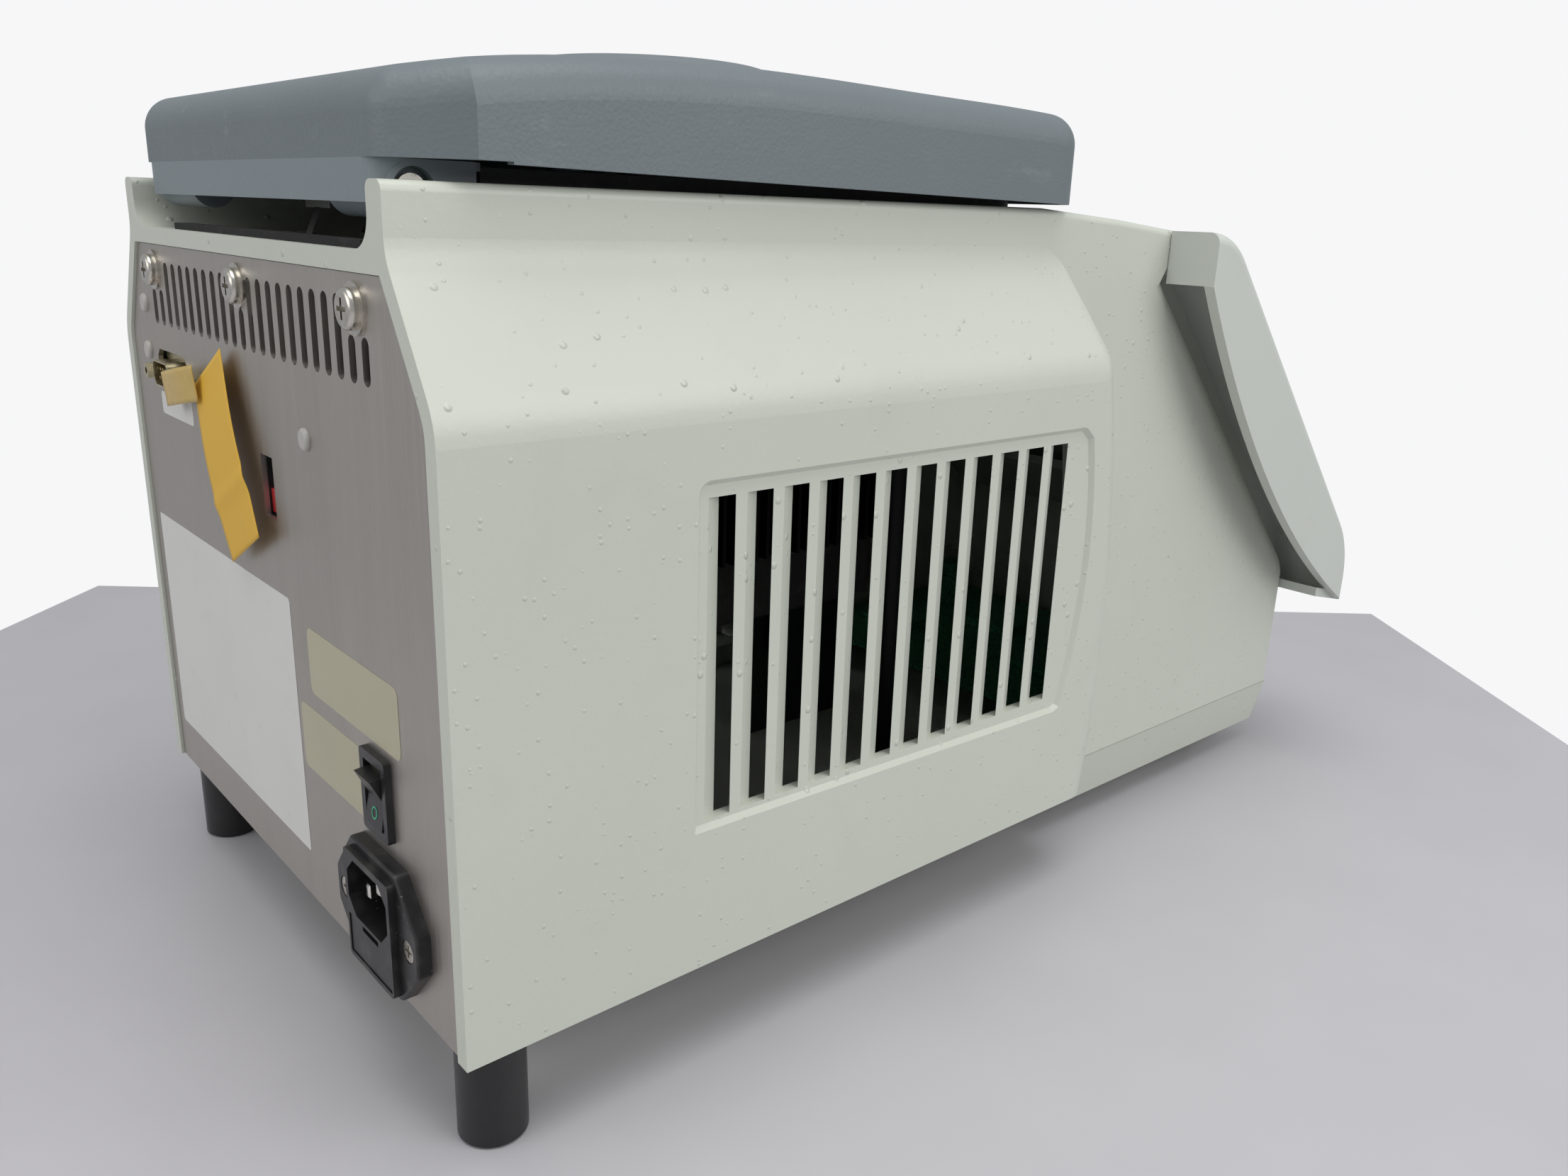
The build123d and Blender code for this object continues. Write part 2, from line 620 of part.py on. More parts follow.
# Mains inlet with socket, earth and line blades, fuse drawer and fuses.
INLET_FACE = -INLET_PROUD
INLET_BACK = 27.0
FUSE_Z = 45.4
FUSE_HIGH = 12.6
with BuildPart() as power_inlet:
    with BuildSketch(station(PANEL_FACE)) as flange:
        with BuildLine():
            Polyline(*[(INLET_X + x, z) for x, z in
                       [(-13.9, 74.1), (13.9, 74.1), (25.4, 60.5), (25.4, 49.5), (13.9, 36.6),
                        (-13.9, 36.6), (-25.4, 49.5), (-25.4, 60.5)]], close=True)
        make_face()
        fillet(flange.vertices(), 2.5)
    extrude(amount=-4)
    fillet(power_inlet.faces().sort_by(Axis.Y)[-1].edges(), radius=0.8)
    with BuildSketch(station(INLET_BACK)) as body:
        with Locations((INLET_X, 54.75)):
            Rectangle(28.4, 33.5)
        fillet(body.vertices(), 1.5)
    extrude(amount=INLET_FACE - INLET_BACK)
    with BuildSketch(station(INLET_FACE)) as socket:
        with Locations((INLET_X, 60.9)):
            Rectangle(25, 17)
        chamfer(socket.vertices().group_by(Axis.Z)[-1], 4.5)
    extrude(amount=15, mode=Mode.SUBTRACT)
    with BuildSketch(station(INLET_FACE)):
        with Locations((INLET_X, FUSE_Z)):
            Rectangle(26.4, FUSE_HIGH - 0.6)
    extrude(amount=27, mode=Mode.SUBTRACT)
    with BuildSketch(station(-4)):
        with Locations((INLET_X - 20, 55), (INLET_X + 20, 55)):
            Circle(3.2)
    extrude(amount=2.4, mode=Mode.SUBTRACT)
    with BuildSketch(station(-4)):
        with Locations((INLET_X - 20, 55), (INLET_X + 20, 55)):
            Circle(1.7)
    extrude(amount=6, mode=Mode.SUBTRACT)
power_inlet.part.label = "power_inlet"
export_step(power_inlet.part, "parts/power_inlet.step")

with BuildPart() as inlet_pins:
    with BuildSketch(station(INLET_FACE + 15)):
        with Locations((INLET_X, 63.4), (INLET_X - 7, 59.4), (INLET_X + 7, 59.4)):
            Rectangle(2, 4)
    extrude(amount=-12)
    tips = inlet_pins.faces().sort_by(Axis.Y)[-3:]
    chamfer(tips.edges(), length=0.6)
inlet_pins.part.label = "inlet_pins"
export_step(inlet_pins.part, "parts/inlet_pins.step")

with BuildPart() as inlet_screws:
    with BuildSketch(station(-1.6)):
        with Locations((INLET_X - 20, 55), (INLET_X + 20, 55)):
            Circle(3.0)
    extrude(amount=-1.2)
    with BuildSketch(station(-3)):
        with Locations((INLET_X - 20, 55), (INLET_X + 20, 55)):
            Rectangle(3.6, 0.8)
            Rectangle(0.8, 3.6)
    extrude(amount=0.9, mode=Mode.SUBTRACT)
    with BuildSketch(station(-1.6)):
        with Locations((INLET_X - 20, 55), (INLET_X + 20, 55)):
            Circle(1.5)
    extrude(amount=PANEL_BACK + 3.6)
    with BuildSketch(station(PANEL_BACK)):
        with Locations((INLET_X - 20, 55), (INLET_X + 20, 55)):
            RegularPolygon(3.2, 6)
    extrude(amount=2)
inlet_screws.part.label = "inlet_screws"
export_step(inlet_screws.part, "parts/inlet_screws.step")

with BuildPart() as fuse_drawer:
    with BuildSketch(station(INLET_FACE + 0.3)):
        with Locations((INLET_X, FUSE_Z)):
            Rectangle(26.4 - 2 * SLIDE_FIT, FUSE_HIGH - 0.6 - 2 * SLIDE_FIT)
    extrude(amount=25.5)
    with BuildSketch(station(INLET_FACE + 3)):
        with Locations((INLET_X - 6.5, FUSE_Z + 4), (INLET_X + 6.5, FUSE_Z + 4)):
            Rectangle(9, 14)
    extrude(amount=21, mode=Mode.SUBTRACT)
    with BuildSketch(station(INLET_FACE + 0.3)):
        with Locations((INLET_X, FUSE_Z + 4.6)):
            Rectangle(10, 1.6)
    extrude(amount=1.5, mode=Mode.SUBTRACT)
fuse_drawer.part.label = "fuse_drawer"
export_step(fuse_drawer.part, "parts/fuse_drawer.step")

with BuildPart() as fuses:
    with BuildSketch(station(INLET_FACE + 3.4)):
        with Locations((INLET_X - 6.5, FUSE_Z - 0.4), (INLET_X + 6.5, FUSE_Z - 0.4)):
            Circle(2.6)
    extrude(amount=20)
fuses.part.label = "fuses"
export_step(fuses.part, "parts/fuses.step")

# Rocker switch, tilted with its upper half out.
ROCKER_TILT = 9.0
ROCKER_PIVOT = 5.0
with BuildPart() as switch_frame:
    with BuildSketch(station(PANEL_FACE)):
        with Locations((-75, SWITCH_Z)):
            RectangleRounded(15.5, 23.5, 1.2)
    extrude(amount=-2)
    with BuildSketch(station(PANEL_FACE)):
        with Locations((-75, SWITCH_Z)):
            Rectangle(13.5, 21.5)
    extrude(amount=19)
    with BuildSketch(station(-4)):
        with Locations((-75, SWITCH_Z)):
            Rectangle(10.8, 18)
    extrude(amount=15, mode=Mode.SUBTRACT)
    with BuildSketch(Plane.YZ.offset(-75)):
        with Locations((y_at(ROCKER_PIVOT), SWITCH_Z)):
            Circle(1.25)
    extrude(amount=6.4, both=True, mode=Mode.SUBTRACT)
switch_frame.part.label = "switch_frame"
export_step(switch_frame.part, "parts/switch_frame.step")

with BuildPart() as power_rocker:
    with BuildSketch(Plane.YZ.offset(-75)) as profile:
        with Locations(Location((y_at(ROCKER_PIVOT), SWITCH_Z), -ROCKER_TILT)):
            Polygon((7.71, 7.5), (5.4, 0), (7.71, -7.5), (1.5, -7.2), (-2, -3), (-2, 3), (1.5, 7.2),
                    align=None)
    extrude(amount=5, both=True)
    with BuildSketch(Plane.YZ.offset(-75)):
        with Locations((y_at(ROCKER_PIVOT), SWITCH_Z)):
            Circle(1.2)
    extrude(amount=6.2, both=True)
power_rocker.part.label = "power_rocker"
export_step(power_rocker.part, "parts/power_rocker.step")

# Paper tag hung on a jackscrew by a strip of tape.
with BuildPart() as paper_tag:
    with BuildSketch(station(-3.6)):
        with Locations(Location((15, 164.6), -26)):
            Rectangle(32, 56)
    extrude(amount=-0.4)
    with BuildSketch(station(-4.0)):
        with Locations(Location((50, 181.5), -10)):
            Rectangle(34, 11)
    extrude(amount=-0.25)
paper_tag.part.label = "paper_tag"
export_step(paper_tag.part, "parts/paper_tag.step")

# Legs at the rear, feet under the front tub.
with BuildPart() as rear_legs:
    with BuildSketch(Plane.XY):
        with Locations((-106.2, y_at(13.3)), (106.2, y_at(13.3))):
            Circle(9.5)
    extrude(amount=FLANGE_LOW)
    chamfer(rear_legs.edges().group_by(Axis.Z)[0], length=0.8)
rear_legs.part.label = "rear_legs"
export_step(rear_legs.part, "parts/rear_legs.step")

with BuildPart() as front_feet:
    with BuildSketch(Plane.XY):
        with Locations((-70, y_at(400)), (70, y_at(400))):
            Circle(10)
    extrude(amount=TRAY_FLOOR)
    chamfer(front_feet.edges().group_by(Axis.Z)[0], length=1)
front_feet.part.label = "front_feet"
export_step(front_feet.part, "parts/front_feet.step")
# Sample block, its frame, thermoelectric modules and heat sink.
BLOCK_LOW = 202.0
BLOCK_TOP = 230.0
BASE_HIGH = 10.0
MODULE = 4.0
SINK_TOP = BLOCK_LOW - MODULE
SINK_BASE = 188.0
FIN_LOW = 133.0
FIN_PITCH = 4.4
POST_X = 80.0
POST_DEPTHS = (90.0, 184.0)
TRAY_TOP = 24.3
block_centre = (0, y_at(BLOCK_DEPTH))

with BuildPart() as block_base:
    with BuildSketch(Plane.XY.offset(BLOCK_LOW)):
        with Locations(block_centre):
            Rectangle(112, 76)
    extrude(amount=BASE_HIGH)
block_base.part.label = "block_base"
export_step(block_base.part, "parts/block_base.step")

with BuildPart() as sample_block:
    with BuildSketch(Plane.XY.offset(BLOCK_LOW + BASE_HIGH)):
        with Locations(block_centre):
            Rectangle(112, 76)
    extrude(amount=BLOCK_TOP - BLOCK_LOW - BASE_HIGH)
    with BuildSketch(Plane.XY.offset(BLOCK_TOP)):
        with Locations(block_centre):
            with GridLocations(WELL_PITCH, WELL_PITCH, WELL_COLUMNS, WELL_ROWS):
                Circle(2.9)
    extrude(amount=-16, taper=6, mode=Mode.SUBTRACT)
sample_block.part.label = "sample_block"
export_step(sample_block.part, "parts/sample_block.step")

with BuildPart() as block_surround:
    with BuildSketch(Plane.XY.offset(DECK_Z)):
        with Locations(block_centre):
            RectangleRounded(146, 108, 5)
    extrude(amount=2.4)
    fillet(block_surround.faces().sort_by(Axis.Z)[-1].edges(), radius=1.2)
    with BuildSketch(Plane.XY.offset(216)):
        with Locations(block_centre):
            Rectangle(119.4, 83.4)
    extrude(amount=DECK_Z - 216)
    with BuildSketch(Plane.XY.offset(215)):
        with Locations(block_centre):
            Rectangle(112.6, 76.6)
    extrude(amount=20, mode=Mode.SUBTRACT)
block_surround.part.label = "block_surround"
export_step(block_surround.part, "parts/block_surround.step")

with BuildPart() as peltier_modules:
    with BuildSketch(Plane.XY.offset(SINK_TOP)):
        with Locations(block_centre):
            with GridLocations(36.5, 37, 3, 2):
                Rectangle(35, 35)
    extrude(amount=MODULE)
peltier_modules.part.label = "peltier_modules"
export_step(peltier_modules.part, "parts/peltier_modules.step")

with BuildPart() as heatsink:
    with BuildSketch(Plane.XY.offset(SINK_BASE)):
        with Locations(block_centre):
            Rectangle(180, 112)
    extrude(amount=SINK_TOP - SINK_BASE)
    with BuildSketch(Plane.XY.offset(FIN_LOW)):
        with Locations(block_centre):
            with GridLocations(1, FIN_PITCH, 1, 25):
                Rectangle(148, 1.3)
    extrude(amount=SINK_BASE - FIN_LOW)
heatsink.part.label = "heatsink"
export_step(heatsink.part, "parts/heatsink.step")

with BuildPart() as block_posts:
    with BuildSketch(Plane.XY.offset(TRAY_TOP)):
        with Locations(*[(side * POST_X, y_at(depth)) for side in (-1, 1) for depth in POST_DEPTHS]):
            Circle(4)
    extrude(amount=SINK_BASE - TRAY_TOP)
block_posts.part.label = "block_posts"
export_step(block_posts.part, "parts/block_posts.step")

# Fan under the fins: frame with struts and spindle, and the rotor that turns on it.
FAN_LOW = 108.0
FAN_BORE = 57.0
SPINDLE = 3.0
with BuildPart() as fan_frame:
    with BuildSketch(Plane.XY.offset(FAN_LOW)) as frame_outline:
        with Locations(block_centre):
            Rectangle(120, 120)
        fillet(frame_outline.vertices(), 6)
        with Locations(block_centre):
            Circle(FAN_BORE, mode=Mode.SUBTRACT)
    extrude(amount=FIN_LOW - FAN_LOW)
    with BuildSketch(Plane.XY.offset(FAN_LOW)):
        with Locations(block_centre):
            Circle(19)
            Rectangle(118, 6)
            Rectangle(6, 118)
    extrude(amount=3)
    with BuildSketch(Plane.XY.offset(FAN_LOW)):
        with Locations(block_centre):
            Circle(SPINDLE)
    extrude(amount=18)
fan_frame.part.label = "fan_frame"
export_step(fan_frame.part, "parts/fan_frame.step")

with BuildPart() as fan_rotor:
    with BuildSketch(Plane.XY.offset(FAN_LOW + 3.4)):
        with Locations(block_centre):
            Circle(19)
    extrude(amount=19)
    fillet(fan_rotor.edges().group_by(Axis.Z)[-1], radius=2)
    with BuildSketch(Plane(origin=(18, block_centre[1], FAN_LOW + 12), x_dir=(0, 1, 0),
                           z_dir=(1, 0, 0))):
        with Locations(Location((0, 0), -38)):
            Rectangle(24, 1.6)
    extrude(amount=36.5)
    blade = fan_rotor.part
    for i in range(1, 7):
        add(blade.rotate(Axis((block_centre[0], block_centre[1], 0), (0, 0, 1)), i * 360 / 7))
    with BuildSketch(Plane.XY.offset(FAN_LOW)):
        with Locations(block_centre):
            Circle(SPINDLE + 0.06)
    extrude(amount=18.4, mode=Mode.SUBTRACT)
fan_rotor.part.label = "fan_rotor"
export_step(fan_rotor.part, "parts/fan_rotor.step")

# Mains transformer and control board on the tray.
with BuildPart() as transformer:
    with BuildSketch(Plane.XY.offset(TRAY_TOP)):
        with Locations((36, y_at(66))):
            Rectangle(84, 34)
    extrude(amount=72)
    with BuildSketch(Plane.XY.offset(TRAY_TOP + 14)):
        with Locations((36, y_at(66))):
            RectangleRounded(58, 62, 9)
    extrude(amount=44)
    with BuildSketch(Plane.XY.offset(TRAY_TOP)):
        with Locations((36, y_at(66))):
            Rectangle(96, 20)
    extrude(amount=2)
transformer.part.label = "transformer"
export_step(transformer.part, "parts/transformer.step")

BOARD_Z = 40.0
with BuildPart() as main_board:
    with BuildSketch(Plane.XY.offset(BOARD_Z)):
        with Locations((0, y_at(344))):
            Rectangle(160, 120)
    extrude(amount=1.6)
    with BuildSketch(Plane.XY.offset(BOARD_Z + 1.6)):
        with Locations((-40, y_at(330)), (10, y_at(360)), (45, y_at(320))):
            Rectangle(26, 18)
    extrude(amount=4)
    with BuildSketch(Plane.XY.offset(BOARD_Z + 1.6)):
        with Locations((-60, y_at(380)), (-42, y_at(380)), (55, y_at(375))):
            Circle(7)
    extrude(amount=22)
main_board.part.label = "main_board"
export_step(main_board.part, "parts/main_board.step")

with BuildPart() as board_posts:
    with BuildSketch(Plane.XY.offset(14)):
        with Locations((0, y_at(344))):
            with GridLocations(148, 108, 2, 2):
                Circle(3.5)
    extrude(amount=BOARD_Z - 14)
board_posts.part.label = "board_posts"
export_step(board_posts.part, "parts/board_posts.step")

with BuildPart() as driver_board:
    with BuildSketch(Plane.YZ.offset(12)):
        with Locations((y_at(224), (TRAY_TOP + 186) / 2)):
            Rectangle(50, 186 - TRAY_TOP)
    extrude(amount=1.6)
    with BuildSketch(Plane.YZ.offset(12)):
        with Locations((y_at(224), 110)):
            with GridLocations(22, 26, 2, 4):
                Rectangle(14, 18)
    extrude(amount=-8)
driver_board.part.label = "driver_board"
export_step(driver_board.part, "parts/driver_board.step")

# Lid hinge: brackets under the deck, shaft, and two gooseneck arms.
SHAFT = 4.0
SHAFT_FIT = 0.06
BRACKET_X = 50.0
with BuildPart() as hinge_brackets:
    for side in (-1, 1):
        with BuildSketch(Plane.YZ.offset(side * BRACKET_X)):
            with Locations((y_at(16), (PANEL_TOP + 203) / 2)):
                Rectangle(15, PANEL_TOP - 203)
            with Locations((y_at(PIVOT_DEPTH), PIVOT_Z)):
                Circle(SHAFT, mode=Mode.SUBTRACT)
        extrude(amount=side * 4)
        with BuildSketch(Plane.XY.offset(PANEL_TOP - 3)):
            with Locations((side * (BRACKET_X + 11), y_at(27))):
                Rectangle(22, 37)
        extrude(amount=3)
hinge_brackets.part.label = "hinge_brackets"
export_step(hinge_brackets.part, "parts/hinge_brackets.step")

with BuildPart() as hinge_shaft:
    with BuildSketch(Plane.YZ):
        with Locations((y_at(PIVOT_DEPTH), PIVOT_Z)):
            Circle(SHAFT)
    extrude(amount=BRACKET_X + 5, both=True)
hinge_shaft.part.label = "hinge_shaft"
export_step(hinge_shaft.part, "parts/hinge_shaft.step")

TRAY_Z = 238.4
with BuildPart() as hinge_arms:
    for side in (-1, 1):
        with BuildSketch(Plane.YZ.offset(side * (ARM_X - ARM_THICK / 2))):
            with BuildLine():
                Polyline(*side_points([(15, PIVOT_Z - 6), (42, PIVOT_Z - 3), (56, TRAY_Z - 2.5),
                                       (56, TRAY_Z), (41, TRAY_Z), (33, PIVOT_Z + 9), (15, PIVOT_Z + 6)]),
                         close=True)
            make_face()
            with Locations((y_at(PIVOT_DEPTH), PIVOT_Z)):
                Circle(6.5)
                Circle(SHAFT + SHAFT_FIT, mode=Mode.SUBTRACT)
        extrude(amount=side * ARM_THICK)
        with BuildSketch(Plane.XY.offset(TRAY_Z - 2.5)):
            with Locations((side * ARM_X, y_at(55))):
                Rectangle(20, 30)
        extrude(amount=2.5)
hinge_arms.part.label = "hinge_arms"
export_step(hinge_arms.part, "parts/hinge_arms.step")

# Lid shell.
LID_WALL = 3.0
lid_profile = [(4, 262), (4.6, 264.6), (6, 265.6), (18, 268.4), (31, 270.4), (41, 271.5), (52, 272.4),
               (68, 273.3), (84, 274), (106, 274.2), (134, 273.8), (172, 273.2), (206, 272.8),
               (225, 272), (234, 270.4)]


def lid_form(inset, low, rounding):
    half = LID_HALF - inset
    neck = LID_NECK - inset
    rear = LID_REAR + inset
    front = LID_FRONT - inset
    with BuildPart() as form:
        with BuildSketch(Plane.XY.offset(low)) as plan:
            with BuildLine():
                Polyline(*[(x, y_at(depth)) for x, depth in
                           [(-neck, rear), (neck, rear), (half, rear + LID_HALF - LID_NECK - 0.5),
                            (half, front), (-half, front), (-half, rear + LID_HALF - LID_NECK - 0.5)]],
                         close=True)
            make_face()
            fillet(plan.vertices().group_by(Axis.Y)[-1], rounding + 0.5)
            fillet(plan.vertices().group_by(Axis.Y)[0], rounding + 2)
        extrude(amount=285 - low)
        with BuildSketch(Plane.YZ):
            with BuildLine():
                top = Spline(*side_points([(-3, 264.2 - inset), (6, 266.4 - inset), (31, 270.6 - inset),
                                           (68, 273.6 - inset), (110, 274.6 - inset), (172, 273.7 - inset),
                                           (206, 273.2 - inset), (245, 271.6 - inset)]))
                Polyline(top @ 1, (y_at(245), low - 1), (y_at(-3), low - 1), top @ 0)
            make_face()
        extrude(amount=120, both=True, mode=Mode.INTERSECT)
        fillet(form.faces().sort_by(Axis.Z)[-1].edges(), radius=rounding)
    return form.part


with BuildPart() as lid_cover:
    add(lid_form(0, 240, 10))
    # Seam line, level over the skirt and sloping to the front.
    with BuildSketch(Plane.YZ):
        with BuildLine():
            Polyline(*side_points([(-5, 230), (-5, LID_SEAM_REAR), (29, LID_SEAM_REAR), (29, 247.4),
                                   (245, LID_SEAM_FRONT - 0.5), (245, 230)]), close=True)
        make_face()
    extrude(amount=120, both=True, mode=Mode.SUBTRACT)
    add(lid_form(LID_WALL, 239, 7), mode=Mode.SUBTRACT)
    # Screw towers, knob bush and knob seat.
    with BuildSketch(Plane.XY.offset(247)):
        with Locations(*[(side * 75, y_at(depth)) for side in (-1, 1) for depth in (60, 215)]):
            Circle(5)
    extrude(until=Until.NEXT)
    with BuildSketch(Plane.XY.offset(263)):
        with Locations(block_centre):
            Circle(20)
    extrude(until=Until.NEXT)
    with BuildSketch(Plane.XY.offset(271)):
        with Locations(block_centre):
            Circle(46.8)
    extrude(amount=8, mode=Mode.SUBTRACT)
    with BuildSketch(Plane.XY.offset(260)):
        with Locations(block_centre):
            Circle(8.06)
    extrude(amount=20, mode=Mode.SUBTRACT)
lid_cover.part.label = "lid_cover"
export_step(lid_cover.part, "parts/lid_cover.step")
print("lid", len(lid_cover.part.solids()), lid_cover.part.is_valid, lid_cover.part.bounding_box())

# Paler skirt under the rear of the cover, with hinge barrels and screw recesses.
with BuildPart() as lid_skirt:
    with BuildSketch(Plane.XY.offset(TRAY_Z)) as skirt_outline:
        with Locations((0, y_at((LID_REAR + 28.5) / 2))):
            Rectangle(2 * LID_NECK, 28.5 - LID_REAR)
        fillet(skirt_outline.vertices().group_by(Axis.Y)[-1], 6.9)
        with Locations((0, y_at((LID_REAR + 35.5) / 2))):
            Rectangle(2 * LID_NECK - 6, 35.5 - LID_REAR - 6.5, mode=Mode.SUBTRACT)
    extrude(amount=LID_SEAM_REAR - TRAY_Z)
    with BuildSketch(Plane.XY.offset(LID_SEAM_REAR - 2)):
        with Locations((0, y_at((LID_REAR + 31) / 2 + 1))):
            Rectangle(2 * LID_NECK - 5.5, 31 - LID_REAR - 2)
    extrude(amount=2)
    for side in (-1, 1):
        with BuildSketch(Plane.YZ.offset(side * 53)):
            with Locations((y_at(BARREL_DEPTH), BARREL_Z)):
                Circle(6.5)
        extrude(amount=side * (LID_NECK - 53))
        with BuildSketch(Plane.YZ.offset(side * LID_NECK)):
            with Locations((y_at(BARREL_DEPTH), BARREL_Z)):
                Circle(5.1)
        extrude(amount=-side * 4, mode=Mode.SUBTRACT)
        with BuildSketch(Plane.YZ.offset(side * LID_NECK)):
            with Locations((y_at(BARREL_DEPTH), BARREL_Z)):
                Circle(1.9)
        extrude(amount=-side * 14, mode=Mode.SUBTRACT)
lid_skirt.part.label = "lid_skirt"
export_step(lid_skirt.part, "parts/lid_skirt.step")

with BuildPart() as arm_screws:
    for side in (-1, 1):
        with BuildSketch(Plane.YZ.offset(side * (LID_NECK - 4))):
            with Locations((y_at(BARREL_DEPTH), BARREL_Z)):
                Circle(3.6)
                RegularPolygon(1.6, 6, mode=Mode.SUBTRACT)
        extrude(amount=side * 2.4)
        with BuildSketch(Plane.YZ.offset(side * (LID_NECK - 4))):
            with Locations((y_at(BARREL_DEPTH), BARREL_Z)):
                Circle(1.8)
        extrude(amount=-side * 9)
arm_screws.part.label = "arm_screws"
export_step(arm_screws.part, "parts/arm_screws.step")

# Black tray under the cover with the opening for the heated plate.
TRAY_REAR = 31.0
TRAY_FRONT = 232.0
TRAY_HIGH = 247.0
with BuildPart() as lid_tray:
    with BuildSketch(Plane.XY.offset(TRAY_Z)) as tray_outline:
        with Locations((0, y_at((TRAY_REAR + TRAY_FRONT) / 2))):
            Rectangle(170, TRAY_FRONT - TRAY_REAR)
        fillet(tray_outline.vertices().group_by(Axis.Y)[0], 12)
    extrude(amount=TRAY_HIGH - TRAY_Z)
    with BuildSketch(Plane.XY.offset(TRAY_Z + 2.5)):
        with Locations((0, y_at((TRAY_REAR + TRAY_FRONT) / 2))):
            Rectangle(165, TRAY_FRONT - TRAY_REAR - 5)
    extrude(amount=10, mode=Mode.SUBTRACT)
    with BuildSketch(Plane.XY.offset(TRAY_Z)):
        with Locations(block_centre):
            Rectangle(130, 94)
        with Locations(*[(side * 75, y_at(depth)) for side in (-1, 1) for depth in (60, 215)]):
            Circle(6)
    extrude(amount=TRAY_HIGH - TRAY_Z)
    with BuildSketch(Plane.XY.offset(TRAY_Z - 1)):
        with Locations(block_centre):
            Rectangle(124, 88)
        with Locations((-40, y_at(222)), (40, y_at(222))):
            Circle(3.6)
    extrude(amount=20, mode=Mode.SUBTRACT)
lid_tray.part.label = "lid_tray"
export_step(lid_tray.part, "parts/lid_tray.step")

# Round knob, its spindle, and the heated plate it presses down.
KNOB_TOP = 283.3
KNOB_LOW = 271.3
PLATE_LOW = 238.9
with BuildPart() as lid_knob:
    with BuildSketch(Plane.XY.offset(KNOB_LOW)):
        with Locations(block_centre):
            Circle(46)
    extrude(amount=KNOB_TOP - KNOB_LOW)
    fillet(lid_knob.edges().group_by(Axis.Z)[-1], radius=9)
lid_knob.part.label = "lid_knob"
export_step(lid_knob.part, "parts/lid_knob.step")

with BuildPart() as knob_spindle:
    with BuildSketch(Plane.XY.offset(250)):
        with Locations(block_centre):
            Circle(8)
    extrude(amount=KNOB_LOW - 250)
    with BuildSketch(Plane.XY.offset(259.5)):
        with Locations(block_centre):
            Circle(12)
    extrude(amount=3.2)
knob_spindle.part.label = "knob_spindle"
export_step(knob_spindle.part, "parts/knob_spindle.step")

with BuildPart() as heated_plate:
    with BuildSketch(Plane.XY.offset(PLATE_LOW)):
        with Locations(block_centre):
            Rectangle(122, 86)
    extrude(amount=6)
    with BuildSketch(Plane.XY.offset(PLATE_LOW + 6)):
        with Locations(block_centre):
            Circle(14)
    extrude(amount=258 - PLATE_LOW - 6)
    with BuildSketch(Plane.XY.offset(248)):
        with Locations(block_centre):
            Circle(8.06)
    extrude(amount=12, mode=Mode.SUBTRACT)
heated_plate.part.label = "heated_plate"
export_step(heated_plate.part, "parts/heated_plate.step")

with BuildPart() as plate_heater:
    with BuildSketch(Plane.XY.offset(PLATE_LOW + 6)):
        with Locations(block_centre):
            Rectangle(114, 78)
            Circle(14.4, mode=Mode.SUBTRACT)
    extrude(amount=1.5)
plate_heater.part.label = "plate_heater"
export_step(plate_heater.part, "parts/plate_heater.step")

# Foam strip on the rail, rest pads and ball catches under the lid.
with BuildPart() as foam_strip:
    with BuildSketch(Plane.XY.offset(DECK_Z)):
        with Locations((-13, y_at(4.4))):
            Rectangle(140, 5)
    extrude(amount=1.9)
foam_strip.part.label = "foam_strip"
export_step(foam_strip.part, "parts/foam_strip.step")

with BuildPart() as rest_pads:
    with BuildSketch(Plane.XY.offset(DECK_Z)):
        with Locations((-60, y_at(205)), (60, y_at(205))):
            Circle(5)
    extrude(amount=TRAY_Z - DECK_Z - 0.1)
rest_pads.part.label = "rest_pads"
export_step(rest_pads.part, "parts/rest_pads.step")

with BuildPart() as ball_catches:
    with BuildSketch(Plane.XY.offset(DECK_Z)):
        with Locations((-40, y_at(222)), (40, y_at(222))):
            Circle(5)
    extrude(amount=8)
    with BuildSketch(Plane.XY.offset(DECK_Z + 8)):
        with Locations((-40, y_at(222)), (40, y_at(222))):
            Circle(3)
    extrude(amount=4)
    fillet(ball_catches.edges().group_by(Axis.Z)[-1], radius=1.5)
ball_catches.part.label = "ball_catches"
export_step(ball_catches.part, "parts/ball_catches.step")
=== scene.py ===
# %% [markdown]
# # A bench thermal cycler, dressed in Blender
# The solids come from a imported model, already in metres and in place. This lesson
# gives each of them the finish of the real instrument, adds the thin things that a
# solid modeller leaves out, such as stickers and a paper tag, and lights the scene.

# %% Load the solids
import math
import random

import bmesh
import bpy
from mathutils import Matrix, Vector


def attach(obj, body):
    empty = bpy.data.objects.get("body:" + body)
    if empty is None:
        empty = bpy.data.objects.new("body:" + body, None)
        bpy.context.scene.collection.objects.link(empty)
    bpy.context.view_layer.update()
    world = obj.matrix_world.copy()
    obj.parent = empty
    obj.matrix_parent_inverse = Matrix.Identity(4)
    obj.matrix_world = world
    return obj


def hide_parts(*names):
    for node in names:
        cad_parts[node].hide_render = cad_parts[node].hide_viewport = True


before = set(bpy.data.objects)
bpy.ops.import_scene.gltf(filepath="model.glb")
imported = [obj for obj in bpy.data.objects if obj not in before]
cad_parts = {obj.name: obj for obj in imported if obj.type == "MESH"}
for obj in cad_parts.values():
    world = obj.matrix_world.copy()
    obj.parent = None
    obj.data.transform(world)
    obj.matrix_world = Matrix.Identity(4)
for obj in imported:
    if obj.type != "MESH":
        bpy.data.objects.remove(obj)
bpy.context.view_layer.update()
MM = 0.001
REAR_Y = 222.5

